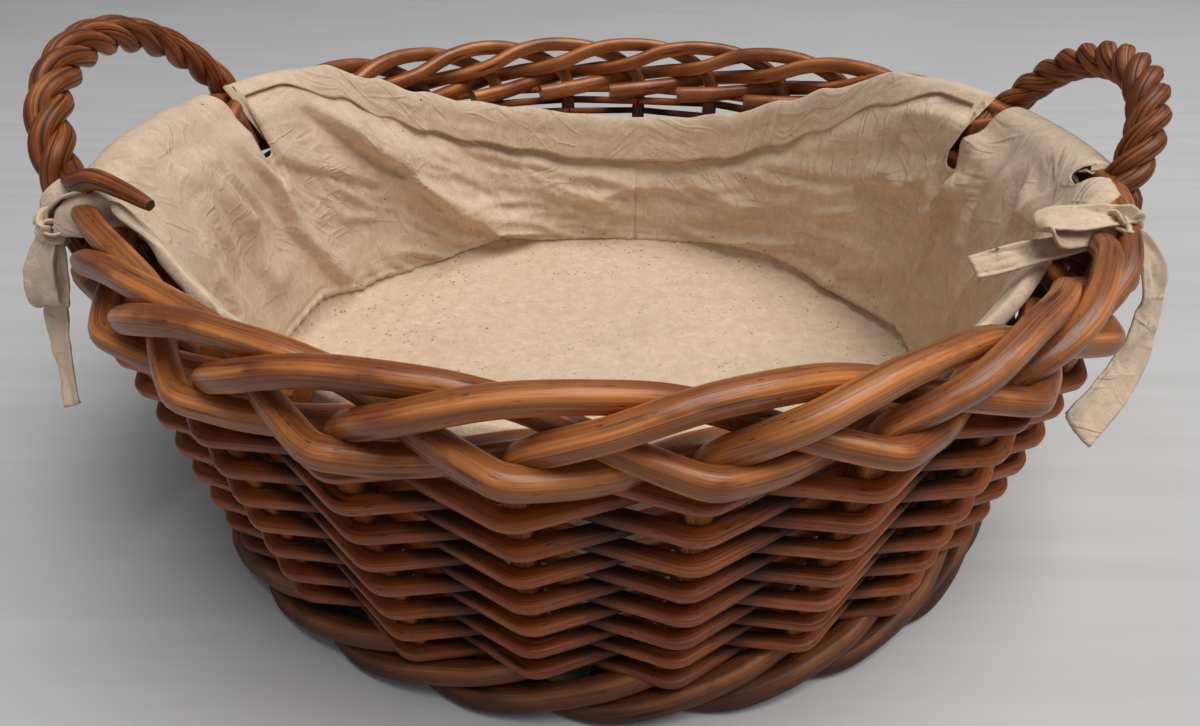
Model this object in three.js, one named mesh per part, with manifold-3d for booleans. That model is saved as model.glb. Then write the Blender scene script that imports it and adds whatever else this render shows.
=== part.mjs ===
// Lined round wicker basket with two rope handles, in millimetres, +Z up.
// The origin is the centre of the floor circle that the basket stands on.
// Angles are counted in pitches: one pitch is the angle from one side stake to the next,
// counterclockwise seen from above, and stake 0 stands on the +X axis.

import * as THREE from "three";
import Module from "manifold-3d";

const wasm = await Module();
wasm.setup();

// Side stakes: round rods whose upper ends are the top border and lower ends the foot border
const stakeCount = 26;
const stakeDiameter = 10;
const stakeSides = 5;
const stakeFootRadius = 226; // from the basket's axis to a stake beside the lowest course
const stakeTopRadius = 246; // the same beside the highest course
const borderInset = 6; // from the stakes beside the highest course inwards to the border's ring

// Wall weave: split rods, over one stake and under the next, each course opposite to the last
const courseCount = 15;
const lowestCourse = 32.5; // height of the lowest course's centre line
const highestCourse = 136;
const weaverHeight = 5.6;
const weaverThickness = 5;
const weaverSeat = 0.6; // running clearance between a weaver and the stakes that it bends round

// Woven base: sticks that cross at the centre and fan out into arms, and two long weavers
const baseStickDiameter = 6;
const baseStickSides = 6;
const baseStickSpacing = 9; // between neighbouring sticks where they cross
const baseCrossRadius = 30; // where the sticks start to fan out
const baseFanRadius = 72; // where every arm lies on its own ray at one height
const baseInset = 9; // from the ring of stakes beside the lowest course to the base's edge
const baseWeaverWidth = 5.4;
const baseWeaverThickness = 4;
const baseCourseSpacing = 6.8; // from one weaver to the other, outwards
const stickCount = 3; // in each of the two sets of base sticks
const baseSeat = 0.35; // clearance between the pieces of the base and what they rest on

// Rope handles: three strands each
const strandDiameter = 8.6;
const strandSides = 5;
const strandCount = 3;
const ropeTurnCount = 3;
const ropeStepCount = 9; // rings in each turn
const ropeHelixRadius = 6; // from the rope's centre line to a strand's
const handleFootPitches = 1.5; // from the handle's middle to each foot
const handleFootRise = 34; // from the highest course to the ends of the handle's centre line
const handleRise = 66; // along the handle's plane, from its feet to the top of its centre line
const handleLeanAngle = 0.47; // radians outwards from upright
const handleFullness = 0.8; // under 1 makes the arch squarer than half an ellipse

// Lining: a floor panel and a wall panel of calico, and one tie at each handle's front foot
const clothThickness = 1.5;
const clothSeat = 0.4; // clearance between the cloth and what it lies on
const liningColumns = 70;
const liningRowShares = [0, 0.3, 0.466, 0.54, 0.632, 0.736, 0.836, 1]; // of its whole profile
const liningRowGapShare = 0.012; // the least from one row to the next, where its edge is low
const foldCount = 13; // upright folds round the wall panel, each standing in from the weave
const foldDepth = 5;
const tieWidth = 17;
const tieThickness = 2;
const tieKnotRadius = 9;
const tieKnotSides = 8;
const tieKnotBands = 5;

// Colours of the varnished wicker and of the natural calico
const wickerColor = 0x8a4a22;
const weaverColor = 0x7c4120;
const clothColor = 0xcdb899;
const wickerRoughness = 0.45;
const clothRoughness = 0.95;

const pitchAngle = (2 * Math.PI) / stakeCount;
const stakeRadius = stakeDiameter / 2;
const borderRadius = stakeTopRadius - borderInset;
const stakeApothem = stakeRadius * Math.cos(Math.PI / stakeSides);
const coursePitch = (highestCourse - lowestCourse) / (courseCount - 1);
const wallSlope = (stakeTopRadius - stakeFootRadius) / (highestCourse - lowestCourse);
const wallLean = Math.atan(wallSlope);
const weaverReach = stakeRadius + weaverSeat + weaverThickness / 2;

const wicker = new THREE.MeshStandardMaterial({
  color: wickerColor, roughness: wickerRoughness, metalness: 0,
});
const splitWicker = new THREE.MeshStandardMaterial({
  color: weaverColor, roughness: wickerRoughness, metalness: 0,
});
const cloth = new THREE.MeshStandardMaterial({
  color: clothColor, roughness: clothRoughness, metalness: 0,
});

const basket = new THREE.Group();

function addPiece(name, geometry, material) {
  const piece = new THREE.Mesh(geometry, material);
  piece.name = name;
  basket.add(piece);
}

// A point at an angle in pitches, a distance from the basket's axis and a height
function onBasket(pitches, radius, height) {
  const angle = pitches * pitchAngle;
  return new THREE.Vector3(radius * Math.cos(angle), radius * Math.sin(angle), height);
}

// Radius of the ring of stakes at a height in the wall
function wallRadius(height) {
  return stakeFootRadius + (height - lowestCourse) * wallSlope;
}

// The outward direction at a point, square to a wall that leans by an angle
function outwardAt(point, lean) {
  const radial = new THREE.Vector3(point.x, point.y, 0).normalize();
  return radial.multiplyScalar(Math.cos(lean)).setZ(-Math.sin(lean));
}

// A regular section, flat side down: pairs of shares along the outward and upward directions
function regularSection(radius, sides) {
  const start = -Math.PI / 2 - Math.PI / sides;
  return Array.from({ length: sides }, (_, i) => {
    const angle = start + (i * 2 * Math.PI) / sides;
    return [radius * Math.cos(angle), radius * Math.sin(angle)];
  });
}

function rectangleSection(across, high) {
  return [
    [-across / 2, -high / 2], [across / 2, -high / 2],
    [across / 2, high / 2], [-across / 2, high / 2],
  ];
}

// A rod: one ring of the section at each point of the path, joined by side faces.
// outwards gives the direction of the section's first axis at each point.
function rodGeometry(path, section, outwards, closed = false) {
  const count = path.length;
  const sides = section.length;
  const positions = [];
  path.forEach((point, i) => {
    const before = path[closed ? (i + count - 1) % count : Math.max(i - 1, 0)];
    const after = path[closed ? (i + 1) % count : Math.min(i + 1, count - 1)];
    const into = point.clone().sub(before).normalize();
    const onward = after.clone().sub(point).normalize();
    const along = into.add(onward).normalize();
    const out = outwards(point, i);
    const across = out.addScaledVector(along, -out.dot(along)).normalize();
    const up = new THREE.Vector3().crossVectors(across, along).normalize();
    for (const [a, b] of section) {
      const corner = point.clone().addScaledVector(across, a).addScaledVector(up, b);
      positions.push(corner.x, corner.y, corner.z);
    }
  });
  const faces = [];
  const spans = closed ? count : count - 1;
  for (let i = 0; i < spans; i += 1) {
    const here = i * sides;
    const next = ((i + 1) % count) * sides;
    for (let s = 0; s < sides; s += 1) {
      const t = (s + 1) % sides;
      faces.push(here + s, next + s, here + t, here + t, next + s, next + t);
    }
  }
  if (!closed) {
    const last = (count - 1) * sides;
    for (let s = 1; s < sides - 1; s += 1) {
      faces.push(0, s, s + 1, last, last + s + 1, last + s);
    }
  }
  return closedGeometry(positions, faces);
}

// Turns the faces round where the signed volume shows that they point inwards
function closedGeometry(positions, faces) {
  const corner = (i) => new THREE.Vector3().fromArray(positions, 3 * i);
  let volume = 0;
  for (let f = 0; f < faces.length; f += 3) {
    const [a, b, c] = [corner(faces[f]), corner(faces[f + 1]), corner(faces[f + 2])];
    volume += a.dot(b.cross(c));
  }
  const geometry = new THREE.BufferGeometry();
  geometry.setAttribute("position", new THREE.Float32BufferAttribute(positions, 3));
  geometry.setIndex(volume < 0 ? [...faces].reverse() : faces);
  return geometry;
}

// Side stakes. The path's rows are pitches from the stake, then two shares of the stake's
// diameter: the distance outwards from a ring and the height above a level. At the upper end
// they are the border's ring and the highest course, at the lower end the ring of stakes beside
// the lowest course and the floor.
// Upper end: kinks to the right just above the weave, climbs the border's outer face for one
// pitch, lies on top for another, drops inside, comes out low, bends round the outside of the
// third stake along and ends inside the fourth.
const borderShares = [
  [0, 0.74, 0.8], [0.01, 0.82, 1.9], [0.1, 1.08, 2.63], [0.28, 1.46, 3.2],
  [0.5, 1.58, 3.75], [0.75, 1.4, 4.23], [1, 1.12, 4.48], [1.35, 0.8, 4.5],
  [1.7, 0.36, 4.15], [2, 0, 3.5], [2.34, 0.46, 2.85], [2.62, 1.28, 2.58],
  [2.84, 1.84, 2.25], [3, 1.96, 2], [3.17, 1.84, 1.86], [3.42, 1.3, 1.65],
  [3.65, 0.45, 1.44], [3.88, -0.6, 1.26], [4.02, -1, 1.2],
];

// Lower end: turns to the left below the lowest course, leans out and down to the floor and
// tucks in under the base. Heights here count from the floor.
const footShares = [
  [-2.62, -1, 0], [-2.2, -0.5, 0], [-1.8, 0.2, 0.01], [-1.5, 0.6, 0.13], [-1.15, 0.7, 0.58],
  [-0.85, 0.62, 1], [-0.5, 0.42, 1.38], [-0.21, 0.12, 1.78], [0, -0.07, 2.3],
];

function stakePath(stake) {
  const foot = footShares.map(([pitches, out, up]) => onBasket(
    stake + pitches, stakeFootRadius + out * stakeDiameter, stakeApothem + up * stakeDiameter,
  ));
  const wallTop = onBasket(stake, stakeTopRadius, highestCourse);
  const border = borderShares.map(([pitches, out, up]) => onBasket(
    stake + pitches, borderRadius + out * stakeDiameter, highestCourse + up * stakeDiameter,
  ));
  return [...foot, wallTop, ...border];
}

function addStakes() {
  const section = regularSection(stakeRadius, stakeSides);
  for (let stake = 0; stake < stakeCount; stake += 1) {
    const name = `stake_${String(stake + 1).padStart(2, "0")}`;
    const path = stakePath(stake);
    addPiece(name, rodGeometry(path, section, (point) => outwardAt(point, 0)), wicker);
  }
}

// Weavers: one ring at each stake, outside it on one course and inside it on the next
function addWeavers() {
  const section = rectangleSection(weaverThickness, weaverHeight);
  for (let course = 0; course < courseCount; course += 1) {
    const height = lowestCourse + course * coursePitch;
    const path = Array.from({ length: stakeCount }, (_, stake) => {
      const side = (stake + course) % 2 === 0 ? 1 : -1;
      const reach = side * weaverReach;
      const radius = wallRadius(height) + reach * Math.cos(wallLean);
      return onBasket(stake, radius, height - reach * Math.sin(wallLean));
    });
    const outwards = (point) => outwardAt(point, wallLean);
    const name = `weaver_${String(course + 1).padStart(2, "0")}`;
    addPiece(name, rodGeometry(path, section, outwards, true), splitWicker);
  }
}

// Base. Its height follows from the foot border's inner ends, which it rests on.
const baseWeaverReach = (baseStickDiameter + baseWeaverThickness) / 2 + baseSeat;
const footEndTop = stakeApothem + stakeRadius;
const baseHeight = footEndTop + baseSeat + baseWeaverReach + baseWeaverThickness / 2;
const baseTop = baseHeight + baseWeaverReach + baseWeaverThickness / 2;
const baseRadius = stakeFootRadius - baseInset;
const armCount = 4 * stickCount; // two sets of sticks, and each stick has two ends
const armAngle = (2 * Math.PI) / armCount;

// One stick through the centre: straight and parallel to its neighbours where the two sets
// cross one over the other, then bent onto two opposite arms
function baseStickPath(quarterTurn, place) {
  const layer = quarterTurn === 0 ? -1 : 1;
  const crossHeight = baseHeight + (layer * (baseStickDiameter + baseSeat)) / 2;
  const side = place * baseStickSpacing;
  const fan = place * armAngle;
  const half = [
    new THREE.Vector3(baseCrossRadius, side, crossHeight),
    new THREE.Vector3(
      baseFanRadius * Math.cos(fan), baseFanRadius * Math.sin(fan), baseHeight,
    ),
    new THREE.Vector3(baseRadius * Math.cos(fan), baseRadius * Math.sin(fan), baseHeight),
  ];
  const mirrored = half.map((p) => new THREE.Vector3(-p.x, p.y, p.z)).reverse();
  return [...mirrored, ...half].map((p) => p.applyAxisAngle(
    new THREE.Vector3(0, 0, 1), (quarterTurn * Math.PI) / 2,
  ));
}

function addBase() {
  const stick = regularSection(baseStickDiameter / 2, baseStickSides);
  const up = () => new THREE.Vector3(0, 0, 1);
  const middle = (stickCount - 1) / 2;
  for (const quarterTurn of [0, 1]) {
    for (let place = -middle; place <= middle; place += 1) {
      const name = `base_stick_${quarterTurn * stickCount + place + middle + 1}`;
      addPiece(name, rodGeometry(baseStickPath(quarterTurn, place), stick, up), wicker);
    }
  }
  const section = rectangleSection(baseWeaverWidth, baseWeaverThickness);
  const start = baseFanRadius + baseWeaverWidth;
  const end = baseRadius - baseWeaverWidth / 2;
  const perTurn = 2 * baseCourseSpacing;
  for (const weaver of [0, 1]) {
    const first = start + weaver * baseCourseSpacing;
    const bends = Math.floor(((end - first) / perTurn) * armCount);
    const path = Array.from({ length: bends }, (_, bend) => {
      const radius = first + (bend / armCount) * perTurn;
      const side = (bend + weaver) % 2 === 0 ? 1 : -1;
      const angle = bend * armAngle;
      return new THREE.Vector3(
        radius * Math.cos(angle), radius * Math.sin(angle), baseHeight + side * baseWeaverReach,
      );
    });
    const outwards = (point) => outwardAt(point, 0);
    addPiece(`base_weaver_${weaver + 1}`, rodGeometry(path, section, outwards), splitWicker);
  }
}

// Handles. The rope's centre line is a leaning arch whose feet stand close outside the border's ring.
const handleFootRadius = borderRadius + stakeDiameter;
const handleFootHeight = highestCourse + handleFootRise;
const handleHalfWidth = handleFootRadius * Math.sin(handleFootPitches * pitchAngle);
const handleReach = handleFootRadius * Math.cos(handleFootPitches * pitchAngle);

// side is 1 for the handle at +X and -1 for the other; swing runs from 0 at the front foot
// to pi at the back foot
function archPoint(side, swing) {
  const rise = handleRise * Math.sin(swing) ** handleFullness;
  return new THREE.Vector3(
    side * (handleReach + rise * Math.sin(handleLeanAngle)),
    -handleHalfWidth * Math.cos(swing),
    handleFootHeight + rise * Math.cos(handleLeanAngle),
  );
}

// Feet of the strands, as pitches from the foot's place, then the distance outwards from the
// border's ring and the height above the highest course in shares of the stake's diameter.
// One strand passes outside the border, the other two go down inside it.
const outerFootShares = [[0, 2.5, 5], [0, 2.66, 3.9], [0, 2.2, 2.1], [0, 2, 1.1]];
const rightFootShares = [[0.04, -0.45, 5], [0.04, -0.58, 3.2], [0.04, -0.66, 1.9]];
const leftFootShares = [[-0.15, -0.35, 5], [-0.15, -0.45, 3.2], [-0.15, -0.55, 1.9]];
// The strand that lies over the border at the left handle's front foot, its end inwards
const restingFootShares = [[0.2, 0.8, 6.1], [0.5, -0.2, 5.9], [0.78, -1.25, 5.45]];

const ropeStartSwing = 0.42; // where the strands come together above each foot

function strandFoot(side, back, shares) {
  const turn = back ? 1 : -1;
  const handleMiddle = side > 0 ? 0 : stakeCount / 2;
  const foot = handleMiddle + side * turn * handleFootPitches;
  return shares.map(([pitches, out, up]) => onBasket(
    foot + pitches,
    borderRadius + out * stakeDiameter,
    highestCourse + up * stakeDiameter,
  ));
}

function strandPath(side, strand) {
  const steps = ropeTurnCount * ropeStepCount;
  const plane = new THREE.Vector3(
    side * Math.cos(handleLeanAngle), 0, -Math.sin(handleLeanAngle),
  );
  const start = new THREE.Vector3(0, 0, 0);
  const rope = Array.from({ length: steps + 1 }, (_, step) => {
    const share = step / steps;
    const swing = ropeStartSwing + share * (Math.PI - 2 * ropeStartSwing);
    const delta = ropeStartSwing / steps;
    const centre = archPoint(side, swing);
    const along = archPoint(side, swing + delta).sub(archPoint(side, swing - delta)).normalize();
    const away = start.clone().crossVectors(along, plane).normalize();
    const twist = 2 * Math.PI * (ropeTurnCount * share + strand / strandCount);
    return centre
      .addScaledVector(plane, ropeHelixRadius * Math.cos(twist))
      .addScaledVector(away, ropeHelixRadius * Math.sin(twist));
  });
  const middleShares = side < 0 ? restingFootShares : rightFootShares;
  const frontShares = [outerFootShares, middleShares, leftFootShares][strand];
  const backShares = [outerFootShares, leftFootShares, rightFootShares][strand];
  const front = strandFoot(side, false, frontShares).reverse();
  const rear = strandFoot(side, true, backShares);
  return [...front, ...rope, ...rear];
}

// A strand's own frame is carried along its path without twist
function carriedFrame(path) {
  const frames = [];
  let out = new THREE.Vector3(0, 0, 1);
  path.forEach((point, i) => {
    const after = path[Math.min(i + 1, path.length - 1)];
    const before = path[Math.max(i - 1, 0)];
    const along = after.clone().sub(before).normalize();
    if (i === 0) out = outwardAt(point, 0);
    out = out.clone().addScaledVector(along, -out.dot(along)).normalize();
    frames.push(out);
  });
  return (_, i) => frames[i].clone();
}

function addHandles() {
  const section = regularSection(strandDiameter / 2, strandSides);
  for (const side of [-1, 1]) {
    for (let strand = 0; strand < strandCount; strand += 1) {
      const path = strandPath(side, strand);
      const name = `${side < 0 ? "left" : "right"}_handle_strand_${strand + 1}`;
      addPiece(name, rodGeometry(path, section, carriedFrame(path)), wicker);
    }
  }
}

// Lining. The wall panel follows one profile up the inside of the basket and over the border.
// Its lower points clear the weave. The others are distances outwards from the border's ring
// and heights above the highest course, as shares of the stake's diameter.
const innerWeave = weaverReach + weaverThickness / 2 + clothSeat + clothThickness / 2;
const overBorderShares = [
  [-1.55, -0.4], [-1.85, 1.2], [-1.2, 3.2], [-0.03, 5.3], [1, 5.5], [1.96, 5.15],
  [2.45, 4.3], [2.68, 3], [2.7, 1.6],
];
const liningProfile = [
  [wallRadius(baseTop) - innerWeave, baseTop + clothThickness + 2 * clothSeat],
  [wallRadius(lowestCourse) - innerWeave, lowestCourse],
  ...overBorderShares.map(([out, up]) => [
    borderRadius + out * stakeDiameter, highestCourse + up * stakeDiameter,
  ]),
];
const foldEndShare = 0.55; // where the folds have run out, as a share of the whole profile
const slopeReachShare = 0.01; // how far to each side the profile's slope is read

// How far up the profile the top edge reaches at each angle, as a share of the whole profile:
// over the border and down outside it beside the handles, slipped down inside at the back
const edgeShares = [
  [0, 1], [1.6, 1], [2.6, 0.79], [3.3, 0.66], [4, 0.55], [4.9, 0.48], [5.8, 0.435],
  [7.2, 0.435], [8.4, 0.52], [9.6, 0.66], [10.4, 0.78], [11.3, 1], [14.6, 1],
  [14.7, 0.602], [24.3, 0.602], [24.4, 1], [26, 1],
];
// The notches round the handles' feet: pitches from the foot on both sides
const notchShares = [-0.36, 0.36];
const notchBottomShare = 1.45; // height above the highest course, in stake diameters
const notchReachShare = 4; // half the notch's reach across the cloth, in stake diameters

function shareAt(table, place) {
  const next = table.findIndex(([at]) => at >= place);
  if (next <= 0) return table[0][1];
  const [a, from] = table[next - 1];
  const [b, to] = table[next];
  return from + ((to - from) * (place - a)) / (b - a);
}

function profilePoint(share) {
  const lengths = [0];
  for (let i = 1; i < liningProfile.length; i += 1) {
    const [r, z] = liningProfile[i];
    const [q, y] = liningProfile[i - 1];
    lengths.push(lengths[i - 1] + Math.hypot(r - q, z - y));
  }
  const want = share * lengths[lengths.length - 1];
  const i = lengths.findIndex((length) => length >= want);
  if (i === 0) return liningProfile[0];
  if (i < 0) return liningProfile[liningProfile.length - 1];
  const part = (want - lengths[i - 1]) / (lengths[i] - lengths[i - 1]);
  return [0, 1].map((k) => liningProfile[i - 1][k]
    + part * (liningProfile[i][k] - liningProfile[i - 1][k]));
}

function addLining() {
  const [seamRadius] = liningProfile[0];
  const floorRadius = seamRadius - clothThickness / 2 - clothSeat;
  const disc = new THREE.CylinderGeometry(
    floorRadius, floorRadius, clothThickness, liningColumns,
  );
  disc.rotateX(Math.PI / 2);
  disc.translate(0, 0, baseTop + clothSeat + clothThickness / 2);
  addPiece("lining_floor_panel", disc, cloth);

  const positions = [];
  const liningRows = liningRowShares.length;
  for (const face of [-1, 1]) {
    for (let column = 0; column < liningColumns; column += 1) {
      const place = (column / liningColumns) * stakeCount;
      const top = shareAt(edgeShares, place);
      for (let row = 0; row < liningRows; row += 1) {
        const below = (liningRows - 1 - row) * liningRowGapShare;
        const share = Math.min(liningRowShares[row], top - below);
        const [r, z] = profilePoint(share);
        const ahead = profilePoint(Math.min(share + slopeReachShare, 1));
        const behind = profilePoint(Math.max(share - slopeReachShare, 0));
        const slope = Math.atan2(ahead[1] - behind[1], ahead[0] - behind[0]);
        const wave = (1 - Math.cos((2 * Math.PI * foldCount * column) / liningColumns)) / 2;
        const swell = Math.sin(Math.PI * Math.min(share / foldEndShare, 1));
        const inward = foldDepth * wave * swell;
        const out = (face * clothThickness) / 2 - inward;
        const point = onBasket(place, r + out * Math.sin(slope), z - out * Math.cos(slope));
        positions.push(point.x, point.y, point.z);
      }
    }
  }
  const faces = [];
  const at = (face, column, row) => (
    (face * liningColumns + (column % liningColumns)) * liningRows + row
  );
  const quad = (a, b, c, d) => faces.push(a, b, c, a, c, d);
  for (let column = 0; column < liningColumns; column += 1) {
    for (let row = 0; row < liningRows - 1; row += 1) {
      quad(at(1, column, row), at(1, column + 1, row),
        at(1, column + 1, row + 1), at(1, column, row + 1));
      quad(at(0, column, row), at(0, column, row + 1),
        at(0, column + 1, row + 1), at(0, column + 1, row));
    }
    for (const row of [0, liningRows - 1]) {
      const rim = [at(0, column, row), at(0, column + 1, row),
        at(1, column + 1, row), at(1, column, row)];
      quad(...(row === 0 ? rim : rim.reverse()));
    }
  }
  let panel = asManifold(closedGeometry(positions, faces));
  for (const middle of [0, stakeCount / 2]) {
    for (const foot of [middle - handleFootPitches, middle + handleFootPitches]) {
      panel = panel.subtract(asManifold(notchGeometry(foot)));
    }
  }
  addPiece("lining_wall_panel", asGeometry(panel), cloth);
}

// A block that stands across the cloth at a handle's foot, from the notch's bottom upwards
function notchGeometry(foot) {
  const reach = notchReachShare * stakeDiameter;
  const section = rectangleSection(2 * reach, 2 * reach);
  const middle = highestCourse + notchBottomShare * stakeDiameter + reach;
  const path = notchShares.map((pitches) => onBasket(foot + pitches, borderRadius, middle));
  return rodGeometry(path, section, (point) => outwardAt(point, 0));
}

// Ties: a knot outside the border at each handle's front foot, a long tail that hangs from it
// and a loop beside it. Rows are pitches from the foot, then outwards and up as for the strands.
const tieKnotShares = [-0.65, 2.68, 4.35];
const tieTailShares = [
  [-0.68, 2.68, 4.2], [-0.85, 2.78, 3.1], [-1.02, 2.73, 1.2], [-1.14, 2.62, -0.6],
  [-1.2, 2.55, -1.8],
];
const tieLoopShares = [
  [-0.6, 2.68, 4.2], [-0.42, 2.78, 3.1], [-0.36, 2.73, 1.8], [-0.42, 2.63, 1.1],
];
// The band that runs from the knot inwards over the border to the lining's edge
const tieBandShares = [
  [-0.65, 2.68, 4.62], [-0.65, 1.8, 5.04], [-0.65, 0.7, 5.14], [-0.65, -0.1, 4.7], [-0.65, -0.9, 3.9],
  [-0.65, -1.48, 3.1], [-0.65, -1.88, 2.2],
];
const tieBandFacing = -1.97; // radians, for a band that faces upwards and a little inwards

function asManifold(geometry) {
  const position = geometry.getAttribute("position");
  return new wasm.Manifold(new wasm.Mesh({
    numProp: 3,
    vertProperties: new Float32Array(position.array),
    triVerts: new Uint32Array(geometry.getIndex().array),
  }));
}

function asGeometry(solid) {
  const mesh = solid.getMesh();
  const geometry = new THREE.BufferGeometry();
  geometry.setAttribute("position", new THREE.BufferAttribute(mesh.vertProperties, 3));
  geometry.setIndex(new THREE.BufferAttribute(mesh.triVerts, 1));
  return geometry;
}

// A knot as a faceted ball, its poles closed by one point each
function knotGeometry(centre, radius) {
  const around = tieKnotSides;
  const bands = tieKnotBands;
  const positions = [centre.x, centre.y, centre.z - radius];
  for (let band = 1; band < bands; band += 1) {
    const rise = (band / bands) * Math.PI;
    for (let i = 0; i < around; i += 1) {
      const angle = (i / around) * 2 * Math.PI;
      positions.push(
        centre.x + radius * Math.sin(rise) * Math.cos(angle),
        centre.y + radius * Math.sin(rise) * Math.sin(angle),
        centre.z - radius * Math.cos(rise),
      );
    }
  }
  positions.push(centre.x, centre.y, centre.z + radius);
  const top = positions.length / 3 - 1;
  const faces = [];
  for (let i = 0; i < around; i += 1) {
    const j = (i + 1) % around;
    faces.push(0, 1 + j, 1 + i);
    for (let band = 0; band < bands - 2; band += 1) {
      const low = 1 + band * around;
      const high = low + around;
      faces.push(low + i, low + j, high + j, low + i, high + j, high + i);
    }
    const last = 1 + (bands - 2) * around;
    faces.push(last + i, last + j, top);
  }
  return closedGeometry(positions, faces);
}

function addTies() {
  const section = rectangleSection(tieThickness, tieWidth);
  for (const side of [-1, 1]) {
    const handleMiddle = side > 0 ? 0 : stakeCount / 2;
    const foot = handleMiddle - side * handleFootPitches;
    const place = ([pitches, out, up]) => onBasket(
      foot + side * pitches,
      borderRadius + out * stakeDiameter,
      highestCourse + up * stakeDiameter,
    );
    const hanging = (point) => outwardAt(point, 0);
    const lying = (point) => outwardAt(point, tieBandFacing);
    const ribbon = (shares, facing) => asManifold(
      rodGeometry(shares.map(place), section, facing),
    );
    const knot = asManifold(knotGeometry(place(tieKnotShares), tieKnotRadius));
    const tie = knot
      .add(ribbon(tieTailShares, hanging))
      .add(ribbon(tieLoopShares, hanging))
      .add(ribbon(tieBandShares, lying));
    addPiece(`${side < 0 ? "left" : "right"}_lining_tie`, asGeometry(tie), cloth);
  }
}

addStakes();
addWeavers();
addBase();
addHandles();
addLining();
addTies();

export default basket;
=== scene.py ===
import math
import random

import bpy
import numpy as np
from bpy.props import FloatProperty, FloatVectorProperty, IntProperty, PointerProperty
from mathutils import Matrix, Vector, noise


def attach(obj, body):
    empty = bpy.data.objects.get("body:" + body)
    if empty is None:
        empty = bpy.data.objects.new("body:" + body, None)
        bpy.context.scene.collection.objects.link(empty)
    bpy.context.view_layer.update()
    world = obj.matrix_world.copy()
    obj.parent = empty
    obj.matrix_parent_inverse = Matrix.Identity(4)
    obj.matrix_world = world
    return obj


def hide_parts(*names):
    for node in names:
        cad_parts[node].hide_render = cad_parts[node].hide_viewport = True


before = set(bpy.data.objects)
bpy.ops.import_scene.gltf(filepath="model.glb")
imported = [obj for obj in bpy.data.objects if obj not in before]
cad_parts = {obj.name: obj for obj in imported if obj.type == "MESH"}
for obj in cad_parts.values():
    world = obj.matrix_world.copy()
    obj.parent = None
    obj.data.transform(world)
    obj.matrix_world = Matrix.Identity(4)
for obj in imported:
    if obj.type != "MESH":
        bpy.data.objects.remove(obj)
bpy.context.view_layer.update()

bl_info = {
    "name": "Lined wicker basket",
    "version": (1, 0, 0),
    "blender": (4, 5, 0),
    "location": "3D View > Sidebar > Basket",
    "description": "Makes a round wicker basket with rope handles and a calico lining",
    "category": "Add Mesh",
}

MM = 0.001

# Driving sizes in millimetres, and counts. A pitch is the step from one stake to the next.
STAKE_COUNT = 26
PITCH = 2 * math.pi / STAKE_COUNT
COURSE_COUNT = 15
LOWEST_COURSE = 32.5
HIGHEST_COURSE = 136.0
WEAVE_FOOT = 28.5  # lowest and highest course as the photograph shows them
WEAVE_TOP = 146.5
STAKE_FOOT_RADIUS = 226.0
STAKE_TOP_RADIUS = 246.0
BORDER_RADIUS = 240.0
WALL_SLOPE = (STAKE_TOP_RADIUS - STAKE_FOOT_RADIUS) / (HIGHEST_COURSE - LOWEST_COURSE)
WALL_LEAN = math.atan(WALL_SLOPE)
FLOOR_STAKE_HEIGHT = 5.6
BASE_HEIGHT = 16.745
BASE_REACH = 219.0
STAKE_HALF = 5.0
WEAVER_SEAT = 0.6
SHARE_UNIT = 10.0  # for places given as shares, near the border and the foot

# Spacing of the points along a swept path, in metres, and where its faces meet sharply
FINE_SPACING = 0.003
ROPE_SPACING = 0.0025
BASE_SPACING = 0.006
RIBBON_SPACING = 0.0016
ROD_SHARPNESS = 50
ROPE_SHARPNESS = 60


# Sizes and colours that a user would change

class WickerSizes(bpy.types.PropertyGroup):
    """Rods of the wall, the border and the base"""
    stake_diameter: FloatProperty(
        name="Stake diameter", description="Thickness of the round side stakes",
        default=0.0108, min=0.006, max=0.014, unit="LENGTH")
    weaver_height: FloatProperty(
        name="Weaver height", description="Height of a split rod in the wall",
        default=0.0070, min=0.003, max=0.009, unit="LENGTH")
    weaver_thickness: FloatProperty(
        name="Weaver thickness", description="Thickness of a split rod, outwards",
        default=0.0054, min=0.003, max=0.008, unit="LENGTH")
    bend_reach: FloatProperty(
        name="Bend reach", description="How far to each side of a stake a weaver bends",
        default=0.0055, min=0.003, max=0.02, unit="LENGTH")
    wander: FloatProperty(
        name="Wander", description="How far a rod strays from its even path",
        default=0.0006, min=0.0, max=0.003, unit="LENGTH")
    light_tone: FloatVectorProperty(
        name="Light tone", description="Varnished wicker where it is palest",
        subtype="COLOR", default=(0.49, 0.176, 0.045), min=0.0, max=1.0)
    middle_tone: FloatVectorProperty(
        name="Middle tone", description="Varnished wicker over most of a rod",
        subtype="COLOR", default=(0.2, 0.052, 0.01), min=0.0, max=1.0)
    dark_tone: FloatVectorProperty(
        name="Dark tone", description="Varnished wicker in streaks and specks",
        subtype="COLOR", default=(0.030, 0.007, 0.002), min=0.0, max=1.0)


class HandleSizes(bpy.types.PropertyGroup):
    """Rope handles of cane"""
    strand_diameter: FloatProperty(
        name="Strand diameter", description="Thickness of one strand of the rope",
        default=0.0096, min=0.006, max=0.014, unit="LENGTH")
    canes: IntProperty(
        name="Canes", description="Split canes that lie side by side round a strand",
        default=5, min=3, max=9)
    groove: FloatProperty(
        name="Groove", description="Depth between the canes as a share of the strand's radius",
        default=0.1, min=0.0, max=0.4)


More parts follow.
